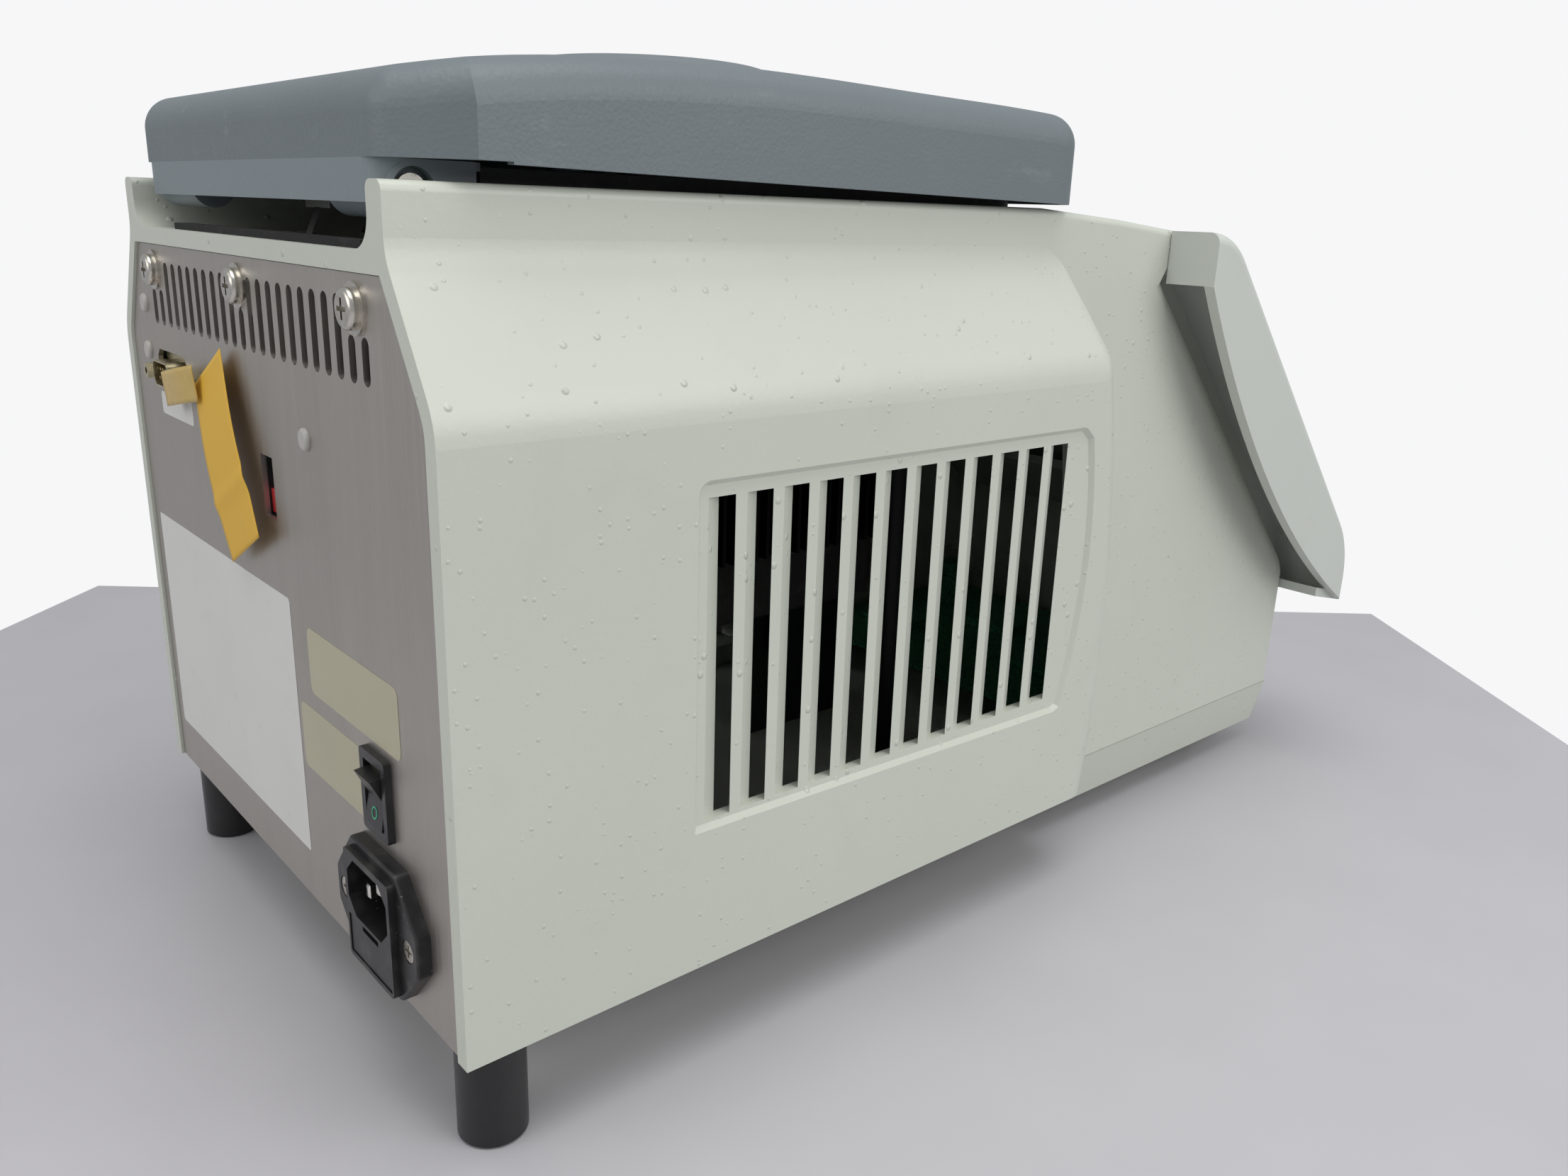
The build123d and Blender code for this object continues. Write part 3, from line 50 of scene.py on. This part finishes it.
# %% [markdown]
# ## The camera
# The photograph was taken from behind the left side, a little above the instrument, with
# a phone. A camera is placed by a matrix: its columns are the directions of the picture's
# right and top edges, the direction backwards, and the place.

# %% Camera
RIGHT = Vector((-0.65374, -0.75602, 0.03266))
DOWN = Vector((-0.24198, 0.16796, -0.95564))
FORWARD = Vector((0.71699, -0.63264, -0.29274))
PLACE = Vector((-0.36106, 0.33569, 0.23925))
SENSOR_MM = 36
LENS_MM = 28.157

lens = bpy.data.cameras.new("photo_camera")
lens.sensor_width = SENSOR_MM
lens.lens = LENS_MM
lens.clip_start = 0.01
camera = bpy.data.objects.new("photo_camera", lens)
turn = Matrix((RIGHT, -DOWN, -FORWARD)).transposed().to_4x4()
camera.matrix_world = Matrix.Translation(PLACE) @ turn
bpy.context.scene.collection.objects.link(camera)
bpy.context.scene.camera = camera
bpy.context.scene.view_settings.view_transform = "Standard"
print("camera at", [round(v, 3) for v in PLACE])

# %% [markdown]
# ## A socket that does sums
# Node trees get long when each Math node is made by hand. A small class wraps one output
# socket and turns + - * and > into Math nodes, so a finish reads like a formula. Every
# other node comes from one method, which takes its settings first and then its inputs.


# %% Socket arithmetic
class Value:
    def __init__(self, recipe, socket):
        self.recipe = recipe
        self.socket = socket

    def math(self, operation, *values, **settings):
        settings["operation"] = operation
        return self.recipe.node("Math", settings, dict(enumerate(values)))

    def __add__(self, other):
        return self.math("ADD", self, other)

    __radd__ = __add__

    def __sub__(self, other):
        return self.math("SUBTRACT", self, other)

    def __rsub__(self, other):
        return self.math("SUBTRACT", other, self)

    def __mul__(self, other):
        return self.math("MULTIPLY", self, other)

    __rmul__ = __mul__

    def __gt__(self, other):
        return self.math("GREATER_THAN", self, other)

    def clip(self):
        return self.math("ADD", self, 0.0, use_clamp=True)

    def between(self, low, high):
        """0 below low, 1 above high, and a soft step between them."""
        return self.recipe.node("MapRange", {"interpolation_type": "SMOOTHSTEP"},
                                {"Value": self, "From Min": low, "From Max": high})


# %% [markdown]
# ## A recipe for one material
# A recipe starts a material and offers the few textures that the finishes below are made
# of. Sizes are in millimetres, because that is how a grain or a speck is thought of. The
# dots are the one trick worth a name: Voronoi cells each have a random colour, which
# decides whether the cell holds a dot, and the distance to the cell's centre shapes it.


# %% Recipe
class Recipe:
    """One material, with the short words that the finishes below are written in."""

    def __init__(self, name):
        self.material = bpy.data.materials.new(name)
        self.material.use_nodes = True
        self.tree = self.material.node_tree
        self.shader = self.tree.nodes["Principled BSDF"]
        self.place = self.node("TexCoord", output="Object")

    def node(self, kind, settings=None, inputs=None, output=0):
        made = self.tree.nodes.new("ShaderNode" + kind)
        for key, value in (settings or {}).items():
            setattr(made, key, value)
        for key, value in (inputs or {}).items():
            self.feed(made.inputs[key], value)
        return Value(self, made.outputs[output])

    def feed(self, socket, value):
        if isinstance(value, Value):
            self.tree.links.new(value.socket, socket)
        else:
            socket.default_value = value

    def blend(self, factor, first, second):
        return self.node("Mix", {"data_type": "RGBA"}, {0: factor, 6: first, 7: second}, output=2)

    def stretched(self, scale):
        return self.node("Mapping", {}, {"Vector": self.place, "Scale": scale})

    def noise(self, size_mm, detail=2.0, rough=0.5, where=None):
        return self.node("TexNoise", {}, {"Vector": where or self.place, "Scale": 1 / (size_mm * MM),
                                          "Detail": detail, "Roughness": rough})

    def cells(self, size_mm, output="Distance", feature="F1"):
        return self.node("TexVoronoi", {"feature": feature},
                         {"Vector": self.place, "Scale": 1 / (size_mm * MM)}, output=output)

    def dots(self, size_mm, core, rim, channel, bar):
        """Round dots in the cells whose colour channel is over bar."""
        chosen = self.node("SeparateColor", {}, {0: self.cells(size_mm, "Color")}, output=channel) > bar
        return (1.0 - self.cells(size_mm).between(core, rim)) * chosen

    def height(self):
        return self.node("SeparateXYZ", {}, {0: self.place}, output="Z")

    def bump(self, height, depth_mm, strength):
        return self.node("Bump", {}, {"Height": height, "Distance": depth_mm * MM, "Strength": strength})

    def finish(self, **sockets):
        for key, value in sockets.items():
            self.feed(self.shader.inputs[key.replace("_", " ")], value)
        return self.material


def rgb(r, g, b):
    return (r, g, b, 1.0)


def wear(material, *nodes):
    """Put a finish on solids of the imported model."""
    for name in nodes:
        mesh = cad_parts[name].data
        mesh.materials.clear()
        mesh.materials.append(material)


print("helpers ready")

# %% [markdown]
# ## The stage
# A pale table and a white room. The table ends behind the instrument, as in the
# photograph: its far edge and its two sides are one four-cornered sheet. Beyond it the
# white comes from the world's colour for camera and glass rays only, so it never adds
# light to the object.

# %% Table and room
TABLE_CORNERS = [(0.477, 0.173, 0), (-1.048, 1.773, 0), (-2.425, 1.548, 0), (-0.040, -0.462, 0)]

recipe = Recipe("pale_table")
grain = recipe.noise(60, 3)
recipe.finish(Base_Color=recipe.blend(grain, rgb(0.47, 0.46, 0.48), rgb(0.52, 0.51, 0.53)), Roughness=0.42,
              Specular_IOR_Level=0.3)
table_mesh = bpy.data.meshes.new("table")
table_mesh.from_pydata(TABLE_CORNERS, [], [(0, 1, 2, 3)])
table_mesh.materials.append(recipe.material)
table = bpy.data.objects.new("table", table_mesh)
bpy.context.scene.collection.objects.link(table)

world = bpy.data.worlds.new("room")
bpy.context.scene.world = world
world.use_nodes = True
tree = world.node_tree
rays = tree.nodes.new("ShaderNodeLightPath")
seen = tree.nodes.new("ShaderNodeMath")
seen.operation = "MAXIMUM"
tree.links.new(rays.outputs["Is Camera Ray"], seen.inputs[0])
tree.links.new(rays.outputs["Is Transmission Ray"], seen.inputs[1])
room = tree.nodes["Background"]
room.inputs["Color"].default_value = rgb(0.93, 0.95, 1.0)
room.inputs["Strength"].default_value = 0.42
white = tree.nodes.new("ShaderNodeBackground")
white.inputs["Color"].default_value = rgb(0.93, 0.93, 0.94)
white.inputs["Strength"].default_value = 1.0
mix = tree.nodes.new("ShaderNodeMixShader")
tree.links.new(seen.outputs[0], mix.inputs["Fac"])
tree.links.new(room.outputs[0], mix.inputs[1])
tree.links.new(white.outputs[0], mix.inputs[2])
tree.links.new(mix.outputs[0], tree.nodes["World Output"].inputs["Surface"])
print("table and room ready")

# %% [markdown]
# ## The lamps
# Three broad soft lamps light it: a ceiling panel, a window on the side that the
# photograph shows, and a weak one that fills the rear panel. A lamp is turned by a
# rotation that tracks from its place to what it is aimed at.


# %% Lamps
def lamp(name, place, aim, size, watts, tint=(1, 1, 1)):
    light = bpy.data.lights.new(name, "AREA")
    light.shape = "RECTANGLE"
    light.size, light.size_y = size
    light.energy = watts
    light.color = tint
    holder = bpy.data.objects.new(name, light)
    holder.location = place
    holder.rotation_euler = (Vector(aim) - Vector(place)).to_track_quat("-Z", "Y").to_euler()
    bpy.context.scene.collection.objects.link(holder)


lamp("ceiling_panel", (-0.3, 0.2, 1.7), (0, 0, 0.1), (1.6, 1.2), 17)
lamp("side_window", (-1.5, -0.5, 0.9), (0, 0, 0.15), (1.2, 1.0), 11, (1, 0.99, 0.97))
lamp("rear_wall", (0.2, 1.6, 0.8), (0, 0.1, 0.15), (1.4, 0.9), 6, (1, 0.98, 0.95))
print("three lamps")

# %% [markdown]
# ## Painted housing
# The shell is a thick moulding, sprayed with a warm, greenish grey-white enamel. Dust
# under the paint left scattered pimples of two sizes, about a millimetre wide, and the
# lowest edge has chipped to the dark primer here and there. The pimples are dots that
# feed the bump; a chip is where the height over the table, made ragged by noise, falls
# under a line.

# %% Enamel
CHIP_LINE = 0.0318
CHIP_SHARPNESS = 900.0


def enamel(name, light, dark, pimples=1.0, chips=0.0):
    recipe = Recipe(name)
    large = recipe.dots(6.5, 0.06, 0.19, "Red", 0.72)
    small = recipe.dots(2.6, 0.08, 0.26, "Green", 0.80)
    peel = recipe.noise(1.6, 2)
    stain = recipe.noise(26, 4).between(0.56, 0.74)
    base = recipe.blend(recipe.noise(70, 3), light, dark)
    base = recipe.blend(stain * 0.10, base, rgb(0.50, 0.50, 0.42))
    below = (CHIP_LINE - recipe.height()) * CHIP_SHARPNESS + recipe.noise(5, 4)
    chip = below.between(1.1, 1.2) * (recipe.noise(30, 1) > 0.58) * chips
    base = recipe.blend(chip, base, rgb(0.10, 0.10, 0.09))
    relief = large * pimples + small * (0.5 * pimples) + peel * 0.12
    return recipe.finish(Base_Color=base, Roughness=peel * 0.10 + 0.31 + chip * 0.3,
                         Normal=recipe.bump(relief, 0.55, 0.7), Specular_IOR_Level=0.45)


wear(enamel("housing_enamel", rgb(0.605, 0.632, 0.555), rgb(0.57, 0.596, 0.52), 1.0, 1.0), "upper_housing")
wear(enamel("tray_enamel", rgb(0.585, 0.61, 0.535), rgb(0.55, 0.575, 0.50), 0.5), "base_tray")
wear(enamel("console_enamel", rgb(0.60, 0.63, 0.58), rgb(0.575, 0.605, 0.555), 0.12), "front_console")
print("enamel on the housing, tray and console")

# %% [markdown]
# ## Blue-grey lid
# The lid is a thick moulded shell with a fine pebble texture that catches the light as a
# soft sheen. The pebble is a sub-millimetre Voronoi bump; rubbing has polished faint pale
# marks into it, which noise squeezed along one axis draws as short scuffs.


# %% Pebbled plastic
def pebbled(name, colour, worn, pebble_mm=0.9, depth=0.10, rough=0.40):
    recipe = Recipe(name)
    pebble = recipe.cells(pebble_mm, feature="SMOOTH_F1")
    scuff = recipe.noise(9, 5, 0.65, recipe.stretched((1.0, 0.35, 1.0))).between(0.60, 0.78)
    base = recipe.blend(recipe.noise(45, 3), colour, worn)
    base = recipe.blend(scuff * 0.22, base, rgb(0.36, 0.40, 0.42))
    return recipe.finish(Base_Color=base, Roughness=rough + pebble * 0.14 - scuff * 0.05,
                         Normal=recipe.bump(pebble + recipe.noise(2.4, 2) * 0.5, depth, 0.6),
                         Specular_IOR_Level=0.5)


wear(pebbled("lid_pebbled", rgb(0.145, 0.173, 0.185), rgb(0.165, 0.194, 0.207)), "lid_cover")
wear(pebbled("knob_pebbled", rgb(0.150, 0.178, 0.190), rgb(0.168, 0.197, 0.210)), "lid_knob")
wear(pebbled("skirt_smooth", rgb(0.20, 0.24, 0.257), rgb(0.215, 0.256, 0.275), 0.5, 0.03, 0.36), "lid_skirt")
print("lid, knob and skirt")

# %% [markdown]
# ## Black mouldings
# The feet, the inlet and the switch are black, and black shows dust first. The same recipe
# serves all of them: a dark base, pale specks and a thin film of dust, each by its share.


# %% Dusty blacks
def dusty_black(name, colour, rough, dust, grain_mm=0.6, depth=0.04):
    recipe = Recipe(name)
    specks = recipe.dots(1.6, 0.05, 0.16, "Red", 1.0 - 0.25 * dust)
    film = recipe.noise(8, 5).between(0.5, 0.8) * (0.10 * dust)
    base = recipe.blend((specks * 0.55 + film).clip(), colour, rgb(0.42, 0.41, 0.38))
    return recipe.finish(Base_Color=base, Roughness=recipe.noise(5, 3) * 0.15 + rough + specks * 0.3,
                         Normal=recipe.bump(recipe.noise(grain_mm, 2), depth, 0.5))


wear(dusty_black("leg_black", rgb(0.013, 0.013, 0.014), 0.22, 0.10), "rear_legs")
wear(dusty_black("foot_rubber", rgb(0.02, 0.02, 0.02), 0.7, 0.4), "front_feet", "rest_pads")
wear(dusty_black("inlet_black", rgb(0.013, 0.013, 0.014), 0.28, 0.9), "power_inlet", "fuse_drawer")
wear(dusty_black("switch_black", rgb(0.015, 0.015, 0.016), 0.24, 0.35), "switch_frame", "power_rocker")
wear(dusty_black("tray_black", rgb(0.012, 0.012, 0.013), 0.5, 0.3), "lid_tray", "block_surround")
wear(dusty_black("insulator_black", rgb(0.012, 0.012, 0.013), 0.4, 0.3), "serial_insert", "voltage_selector")
wear(dusty_black("fan_black", rgb(0.012, 0.012, 0.012), 0.5, 0.6), "fan_frame", "fan_rotor")
wear(dusty_black("foam_black", rgb(0.016, 0.016, 0.016), 0.95, 0.5, 0.35, 0.5), "foam_strip")
print("black mouldings")

# %% [markdown]
# ## Bare and plated metal
# The rear panel is stainless sheet with a vertical brushed grain. Noise that is stretched
# about eighty times along Z draws the grain; it is used for the colour, the roughness and
# a very shallow bump, so the panel streaks the light up and down.

# %% Metals
UP_GRAIN = (1.0, 1.0, 0.012)
CROSS_GRAIN = (0.05, 1, 1)
NO_GRAIN = (1, 1, 1)
TARNISH = rgb(0.30, 0.27, 0.22)


def brushed(name, light, dark, stretch, rough=0.34):
    recipe = Recipe(name)
    streak = recipe.noise(0.55, 3, 0.6, recipe.stretched(stretch))
    broad = recipe.noise(14, 3, 0.6, recipe.stretched(stretch))
    smear = recipe.noise(40, 4).between(0.45, 0.75)
    base = recipe.blend((streak * 0.7 + broad * 0.3).clip(), dark, light)
    base = recipe.blend(smear * 0.15, base, dark)
    return recipe.finish(Base_Color=base, Metallic=1.0, Roughness=streak * 0.16 + rough + smear * 0.05,
                         Normal=recipe.bump(streak, 0.012, 0.35))


def plated(name, colour, rough):
    recipe = Recipe(name)
    mottle = recipe.noise(2.2, 4).between(0.45, 0.75)
    return recipe.finish(Base_Color=recipe.blend(mottle * 0.4, colour, TARNISH), Metallic=1.0,
                         Roughness=mottle * 0.18 + rough,
                         Normal=recipe.bump(recipe.noise(0.7, 2), 0.02, 0.3))


wear(brushed("panel_stainless", rgb(0.60, 0.565, 0.52), rgb(0.42, 0.39, 0.355), UP_GRAIN), "rear_panel")
wear(plated("screw_zinc", rgb(0.66, 0.63, 0.57), 0.24), "panel_screws", "inlet_screws", "arm_screws")
wear(plated("chromate_yellow", rgb(0.62, 0.55, 0.36), 0.26), "serial_shell", "jackscrews")
wear(plated("pin_gold", rgb(0.90, 0.70, 0.36), 0.2), "serial_pins")
wear(plated("blade_nickel", rgb(0.78, 0.77, 0.73), 0.2), "inlet_pins")
wear(brushed("turned_steel", rgb(0.55, 0.55, 0.54), rgb(0.42, 0.42, 0.41), NO_GRAIN),
     "hinge_brackets", "hinge_shaft", "hinge_arms", "ball_catches", "knob_spindle")
wear(brushed("machined_block", rgb(0.75, 0.75, 0.74), rgb(0.62, 0.62, 0.62), CROSS_GRAIN, 0.3),
     "sample_block", "block_base", "heated_plate")
wear(brushed("black_anodised", rgb(0.035, 0.035, 0.038), rgb(0.02, 0.02, 0.022), CROSS_GRAIN, 0.45),
     "heatsink", "board_posts", "block_posts")
print("metals done")

# %% [markdown]
# ## Boards and small mouldings
# Hidden pieces still get a finish of their own, because the lid opens and the part is
# looked at from every side. The edges of Voronoi cells pass for the tracks of a board, and
# the board behind the grille is painted near-black as painted shade, so that the slots stay dark.


# %% Inner finishes
def board(name, mask, copper):
    recipe = Recipe(name)
    tracks = recipe.cells(3.0, feature="DISTANCE_TO_EDGE").between(0.03, 0.06)
    return recipe.finish(Base_Color=recipe.blend(tracks, mask, copper), Roughness=tracks * 0.1 + 0.35,
                         Normal=recipe.bump(tracks, 0.03, 0.4))


def moulded(name, colour, other, rough, depth=0.02):
    recipe = Recipe(name)
    cloud = recipe.noise(12, 4)
    return recipe.finish(Base_Color=recipe.blend(cloud, colour, other), Roughness=cloud * 0.15 + rough,
                         Normal=recipe.bump(recipe.noise(0.6, 2), depth, 0.5))


KEY_CAPS = [f"key_{i}" for i in range(1, 7)]
wear(board("circuit_green", rgb(0.015, 0.13, 0.055), rgb(0.05, 0.30, 0.14)),
     "key_board", "serial_board", "main_board")
# The driver board behind the grille is near-black: painted shade that keeps the slots dark.
wear(board("board_black_painted_shade", rgb(0.008, 0.012, 0.010), rgb(0.015, 0.03, 0.02)), "driver_board")
wear(moulded("display_dark", rgb(0.05, 0.09, 0.06), rgb(0.06, 0.11, 0.07), 0.25), "display_module")
wear(moulded("overlay_film", rgb(0.16, 0.19, 0.21), rgb(0.18, 0.21, 0.23), 0.35), "keypad_overlay")
wear(moulded("key_caps", rgb(0.52, 0.55, 0.55), rgb(0.48, 0.51, 0.51), 0.35), *KEY_CAPS)
wear(moulded("plug_nylon", rgb(0.50, 0.49, 0.45), rgb(0.42, 0.41, 0.38), 0.25), "panel_plugs")
wear(moulded("selector_red", rgb(0.60, 0.025, 0.03), rgb(0.50, 0.02, 0.025), 0.3), "selector_slider")
wear(moulded("module_ceramic", rgb(0.75, 0.75, 0.72), rgb(0.68, 0.68, 0.65), 0.5), "peltier_modules")
wear(moulded("transformer_iron", rgb(0.07, 0.06, 0.055), rgb(0.12, 0.09, 0.07), 0.45, 0.1), "transformer")
wear(moulded("heater_silicone", rgb(0.42, 0.10, 0.04), rgb(0.36, 0.08, 0.03), 0.6), "plate_heater")
print("boards and mouldings")

# %% [markdown]
# ## Window and fuses
# The display window is clear acrylic: full transmission, with smudges that only make it
# rougher. The fuses sit in the dark, so their glass is a shiny opaque tube.

# %% Clear pieces
recipe = Recipe("window_acrylic")
smudge = recipe.noise(14, 4).between(0.5, 0.8)
wear(recipe.finish(Base_Color=recipe.blend(smudge, rgb(0.9, 0.93, 0.92), rgb(0.8, 0.84, 0.82)),
                   Roughness=smudge * 0.12 + 0.04, Transmission_Weight=1.0, IOR=1.49), "display_window")
recipe = Recipe("fuse_glass")
band = recipe.noise(5, 2)
wear(recipe.finish(Base_Color=recipe.blend(band, rgb(0.8, 0.82, 0.8), rgb(0.6, 0.6, 0.58)),
                   Roughness=band * 0.1 + 0.08, Metallic=0.2), "fuses")
print("window and fuses")

# %% [markdown]
# ## Stickers on the rear panel
# Stickers are a tenth of a millimetre thick, so they are left to Blender. Each is a
# rounded rectangle with a real thickness, laid on the panel, and left bare. A worn one has
# a slightly ragged edge, from random steps of each point of its outline.

# %% A rounded sheet on the panel
PANEL_Y = REAR_Y - 1.0
STICKER_TOP = 0.12
STICKER_UNDERSIDE = 0.01
CORNER_STEPS = 6


def new_piece(name, mesh, material, body):
    mesh.materials.append(material)
    piece = bpy.data.objects.new(name, mesh)
    bpy.context.scene.collection.objects.link(piece)
    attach(piece, body)
    return piece


def finished_mesh(name, bm):
    bmesh.ops.recalc_face_normals(bm, faces=bm.faces)
    mesh = bpy.data.meshes.new(name)
    bm.to_mesh(mesh)
    bm.free()
    return mesh


def rounded_outline(wide, high, radius):
    points = []
    for sx, sz, start in ((1, 1, 0), (-1, 1, 90), (-1, -1, 180), (1, -1, 270)):
        for i in range(CORNER_STEPS + 1):
            a = math.radians(start + 90 * i / CORNER_STEPS)
            points.append((sx * (wide / 2 - radius) + radius * math.cos(a),
                           sz * (high / 2 - radius) + radius * math.sin(a)))
    return points


def sticker(name, x, z, material, radius, worn=0.0):
    rng = random.Random(1)
    centre = ((x[0] + x[1]) / 2, (z[0] + z[1]) / 2)
    bm = bmesh.new()
    ring = []
    for u, v in rounded_outline(x[1] - x[0], z[1] - z[0], radius):
        u += rng.uniform(-worn, worn)
        v += rng.uniform(-worn, worn)
        ring.append(bm.verts.new(((centre[0] + u) * MM, (PANEL_Y + STICKER_TOP) * MM, (centre[1] + v) * MM)))
    low = bmesh.ops.extrude_face_region(bm, geom=[bm.faces.new(ring)])
    for vert in [g for g in low["geom"] if isinstance(g, bmesh.types.BMVert)]:
        vert.co.y = (PANEL_Y + STICKER_UNDERSIDE) * MM
    return new_piece(name, finished_mesh(name, bm), material, "housing")


# %% [markdown]
# ## Paper
# Paper is fibre at under a millimetre, a slow change of tone over centimetres, and grime in
# patches. The white sticker has yellowed little, the cream ones are glossier and dirtier.


# %% Paper and the four stickers
def paper(name, colour, age, dirt, rough=0.55):
    recipe = Recipe(name)
    fibre = recipe.noise(0.8, 4)
    grime = recipe.noise(7, 5).between(0.62, 0.82) * dirt
    base = recipe.blend(recipe.noise(30, 3), colour, age)
    base = recipe.blend(grime * 0.5, base, rgb(0.40, 0.37, 0.28))
    return recipe.finish(Base_Color=base, Roughness=fibre * 0.15 + rough,
                         Normal=recipe.bump(fibre, 0.02, 0.4))


white_paper = paper("white_label", rgb(0.72, 0.72, 0.70), rgb(0.66, 0.66, 0.63), 0.35)
cream_paper = paper("cream_label", rgb(0.50, 0.47, 0.34), rgb(0.44, 0.41, 0.29), 0.8, 0.35)
sticker("label_white", (-18.4, 108.6), (48.5, 129.1), white_paper, 1.2, 0.10)
sticker("label_cream_high", (-89.7, -30.6), (104.6, 124.3), cream_paper, 2.5)
sticker("label_cream_low", (-80, -21), (78.7, 99.2), cream_paper, 2.5)
sticker("label_serial", (55.4, 88.9), (167.6, 175.1), white_paper, 1.4)
print("four bare stickers")

# %% [markdown]
# ## The yellow tag
# A paper tag hangs from the connector's jackscrew on a strip of tape. Paper bends in one
# direction at a time, so the sheet is a grid whose distance from the panel changes only
# along its length, with a soft crease, and one lifted corner.

# %% Tag and tape
TAG_CENTRE = (15.0, 164.6)
TAG_SIZE = (32, 56)
TAG_TILT = math.radians(-26)
TAG_THICK = 0.16
TAG_REACH = 4.7
TAPE_CENTRE = (50, 181.5)
TAPE_SIZE = (34, 11)
TAPE_TILT = math.radians(-10)
TAPE_THICK = 0.12


def strip(name, centre, tilt, size, lift, columns, rows):
    """A paper strip; lift(u, v) is its height over the rim in millimetres, u and v from -1 to 1."""
    c, s = math.cos(tilt), math.sin(tilt)
    bm = bmesh.new()
    grid = []
    for j in range(rows + 1):
        for i in range(columns + 1):
            u, v = 2 * i / columns - 1, 2 * j / rows - 1
            a, b = u * size[0] / 2, v * size[1] / 2
            grid.append(bm.verts.new(((centre[0] + a * c - b * s) * MM, (REAR_Y + lift(u, v)) * MM,
                                      (centre[1] + a * s + b * c) * MM)))
    for j in range(rows):
        for i in range(columns):
            k = j * (columns + 1) + i
            bm.faces.new((grid[k + 1], grid[k], grid[k + columns + 1], grid[k + columns + 2]))
    mesh = finished_mesh(name, bm)
    for polygon in mesh.polygons:
        polygon.use_smooth = True
    return mesh


def solid_sheet(piece, thick):
    thicken = piece.modifiers.new("thickness", "SOLIDIFY")
    thicken.thickness = thick * MM
    thicken.offset = 0


def tag_lift(u, v):
    bow = 2.7 + 0.9 * math.cos(v * 2.2) - 0.5 * v
    crease = 0.5 * math.exp(-((v + 0.35) / 0.09) ** 2)
    corner = 0.9 * max(0.0, -v - 0.55) * (1.2 - u)
    return min(TAG_REACH, bow + crease + corner)


def tape_lift(u, v):
    return 4.15 + 0.35 * math.cos(u * 3) + 0.2 * math.sin(v * 2)


yellow_paper = paper("tag_yellow", rgb(0.78, 0.47, 0.045), rgb(0.72, 0.42, 0.04), 0.25, 0.5)
tag = new_piece("paper_tag_sheet", strip("paper_tag_sheet", TAG_CENTRE, TAG_TILT, TAG_SIZE, tag_lift, 16, 40),
                yellow_paper, "housing")
solid_sheet(tag, TAG_THICK)
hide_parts("paper_tag")
recipe = Recipe("tape_yellow")
age = recipe.noise(4, 3)
tape_finish = recipe.finish(Base_Color=recipe.blend(age, rgb(0.62, 0.44, 0.10), rgb(0.52, 0.34, 0.08)),
                            Roughness=age * 0.2 + 0.2)
tape = new_piece("tag_tape", strip("tag_tape", TAPE_CENTRE, TAPE_TILT, TAPE_SIZE, tape_lift, 20, 8),
                 tape_finish, "housing")
solid_sheet(tape, TAPE_THICK)
print("tag and tape")

# %% [markdown]
# ## Mark on the rocker
# A mains rocker carries a ring for off, which the photograph shows in green. It is a flat
# ring of quads, leaning as the lower half of the rocker does, just over its face.

# %% Switch mark
RING_CENTRE = (-75, 85.5)
RING_RADII = (1.25, 1.75)
RING_STEPS = 32
RING_THICK = 0.06
RING_OVER_RIM = 1.01
ROCKER_LEAN = math.radians(8.2)

recipe = Recipe("mark_green")
fade = recipe.noise(1.0, 2)
mark_paint = recipe.finish(Base_Color=recipe.blend(fade, rgb(0.05, 0.42, 0.22), rgb(0.04, 0.32, 0.17)),
                           Roughness=fade * 0.1 + 0.4)
inner, outer = RING_RADII
bm = bmesh.new()
for i in range(RING_STEPS):
    a, b = 2 * math.pi * i / RING_STEPS, 2 * math.pi * (i + 1) / RING_STEPS
    corners = []
    for radius, angle in ((inner, a), (outer, a), (outer, b), (inner, b)):
        u, v = radius * math.cos(angle), radius * math.sin(angle)
        corners.append(bm.verts.new(((RING_CENTRE[0] + u) * MM,
                                     (REAR_Y + RING_OVER_RIM - v * math.tan(ROCKER_LEAN)) * MM,
                                     (RING_CENTRE[1] + v) * MM)))
    bm.faces.new(corners)
bmesh.ops.remove_doubles(bm, verts=bm.verts, dist=1e-7)
ring = new_piece("rocker_ring", finished_mesh("rocker_ring", bm), mark_paint, "rocker")
solid_sheet(ring, RING_THICK)
print("switch mark")
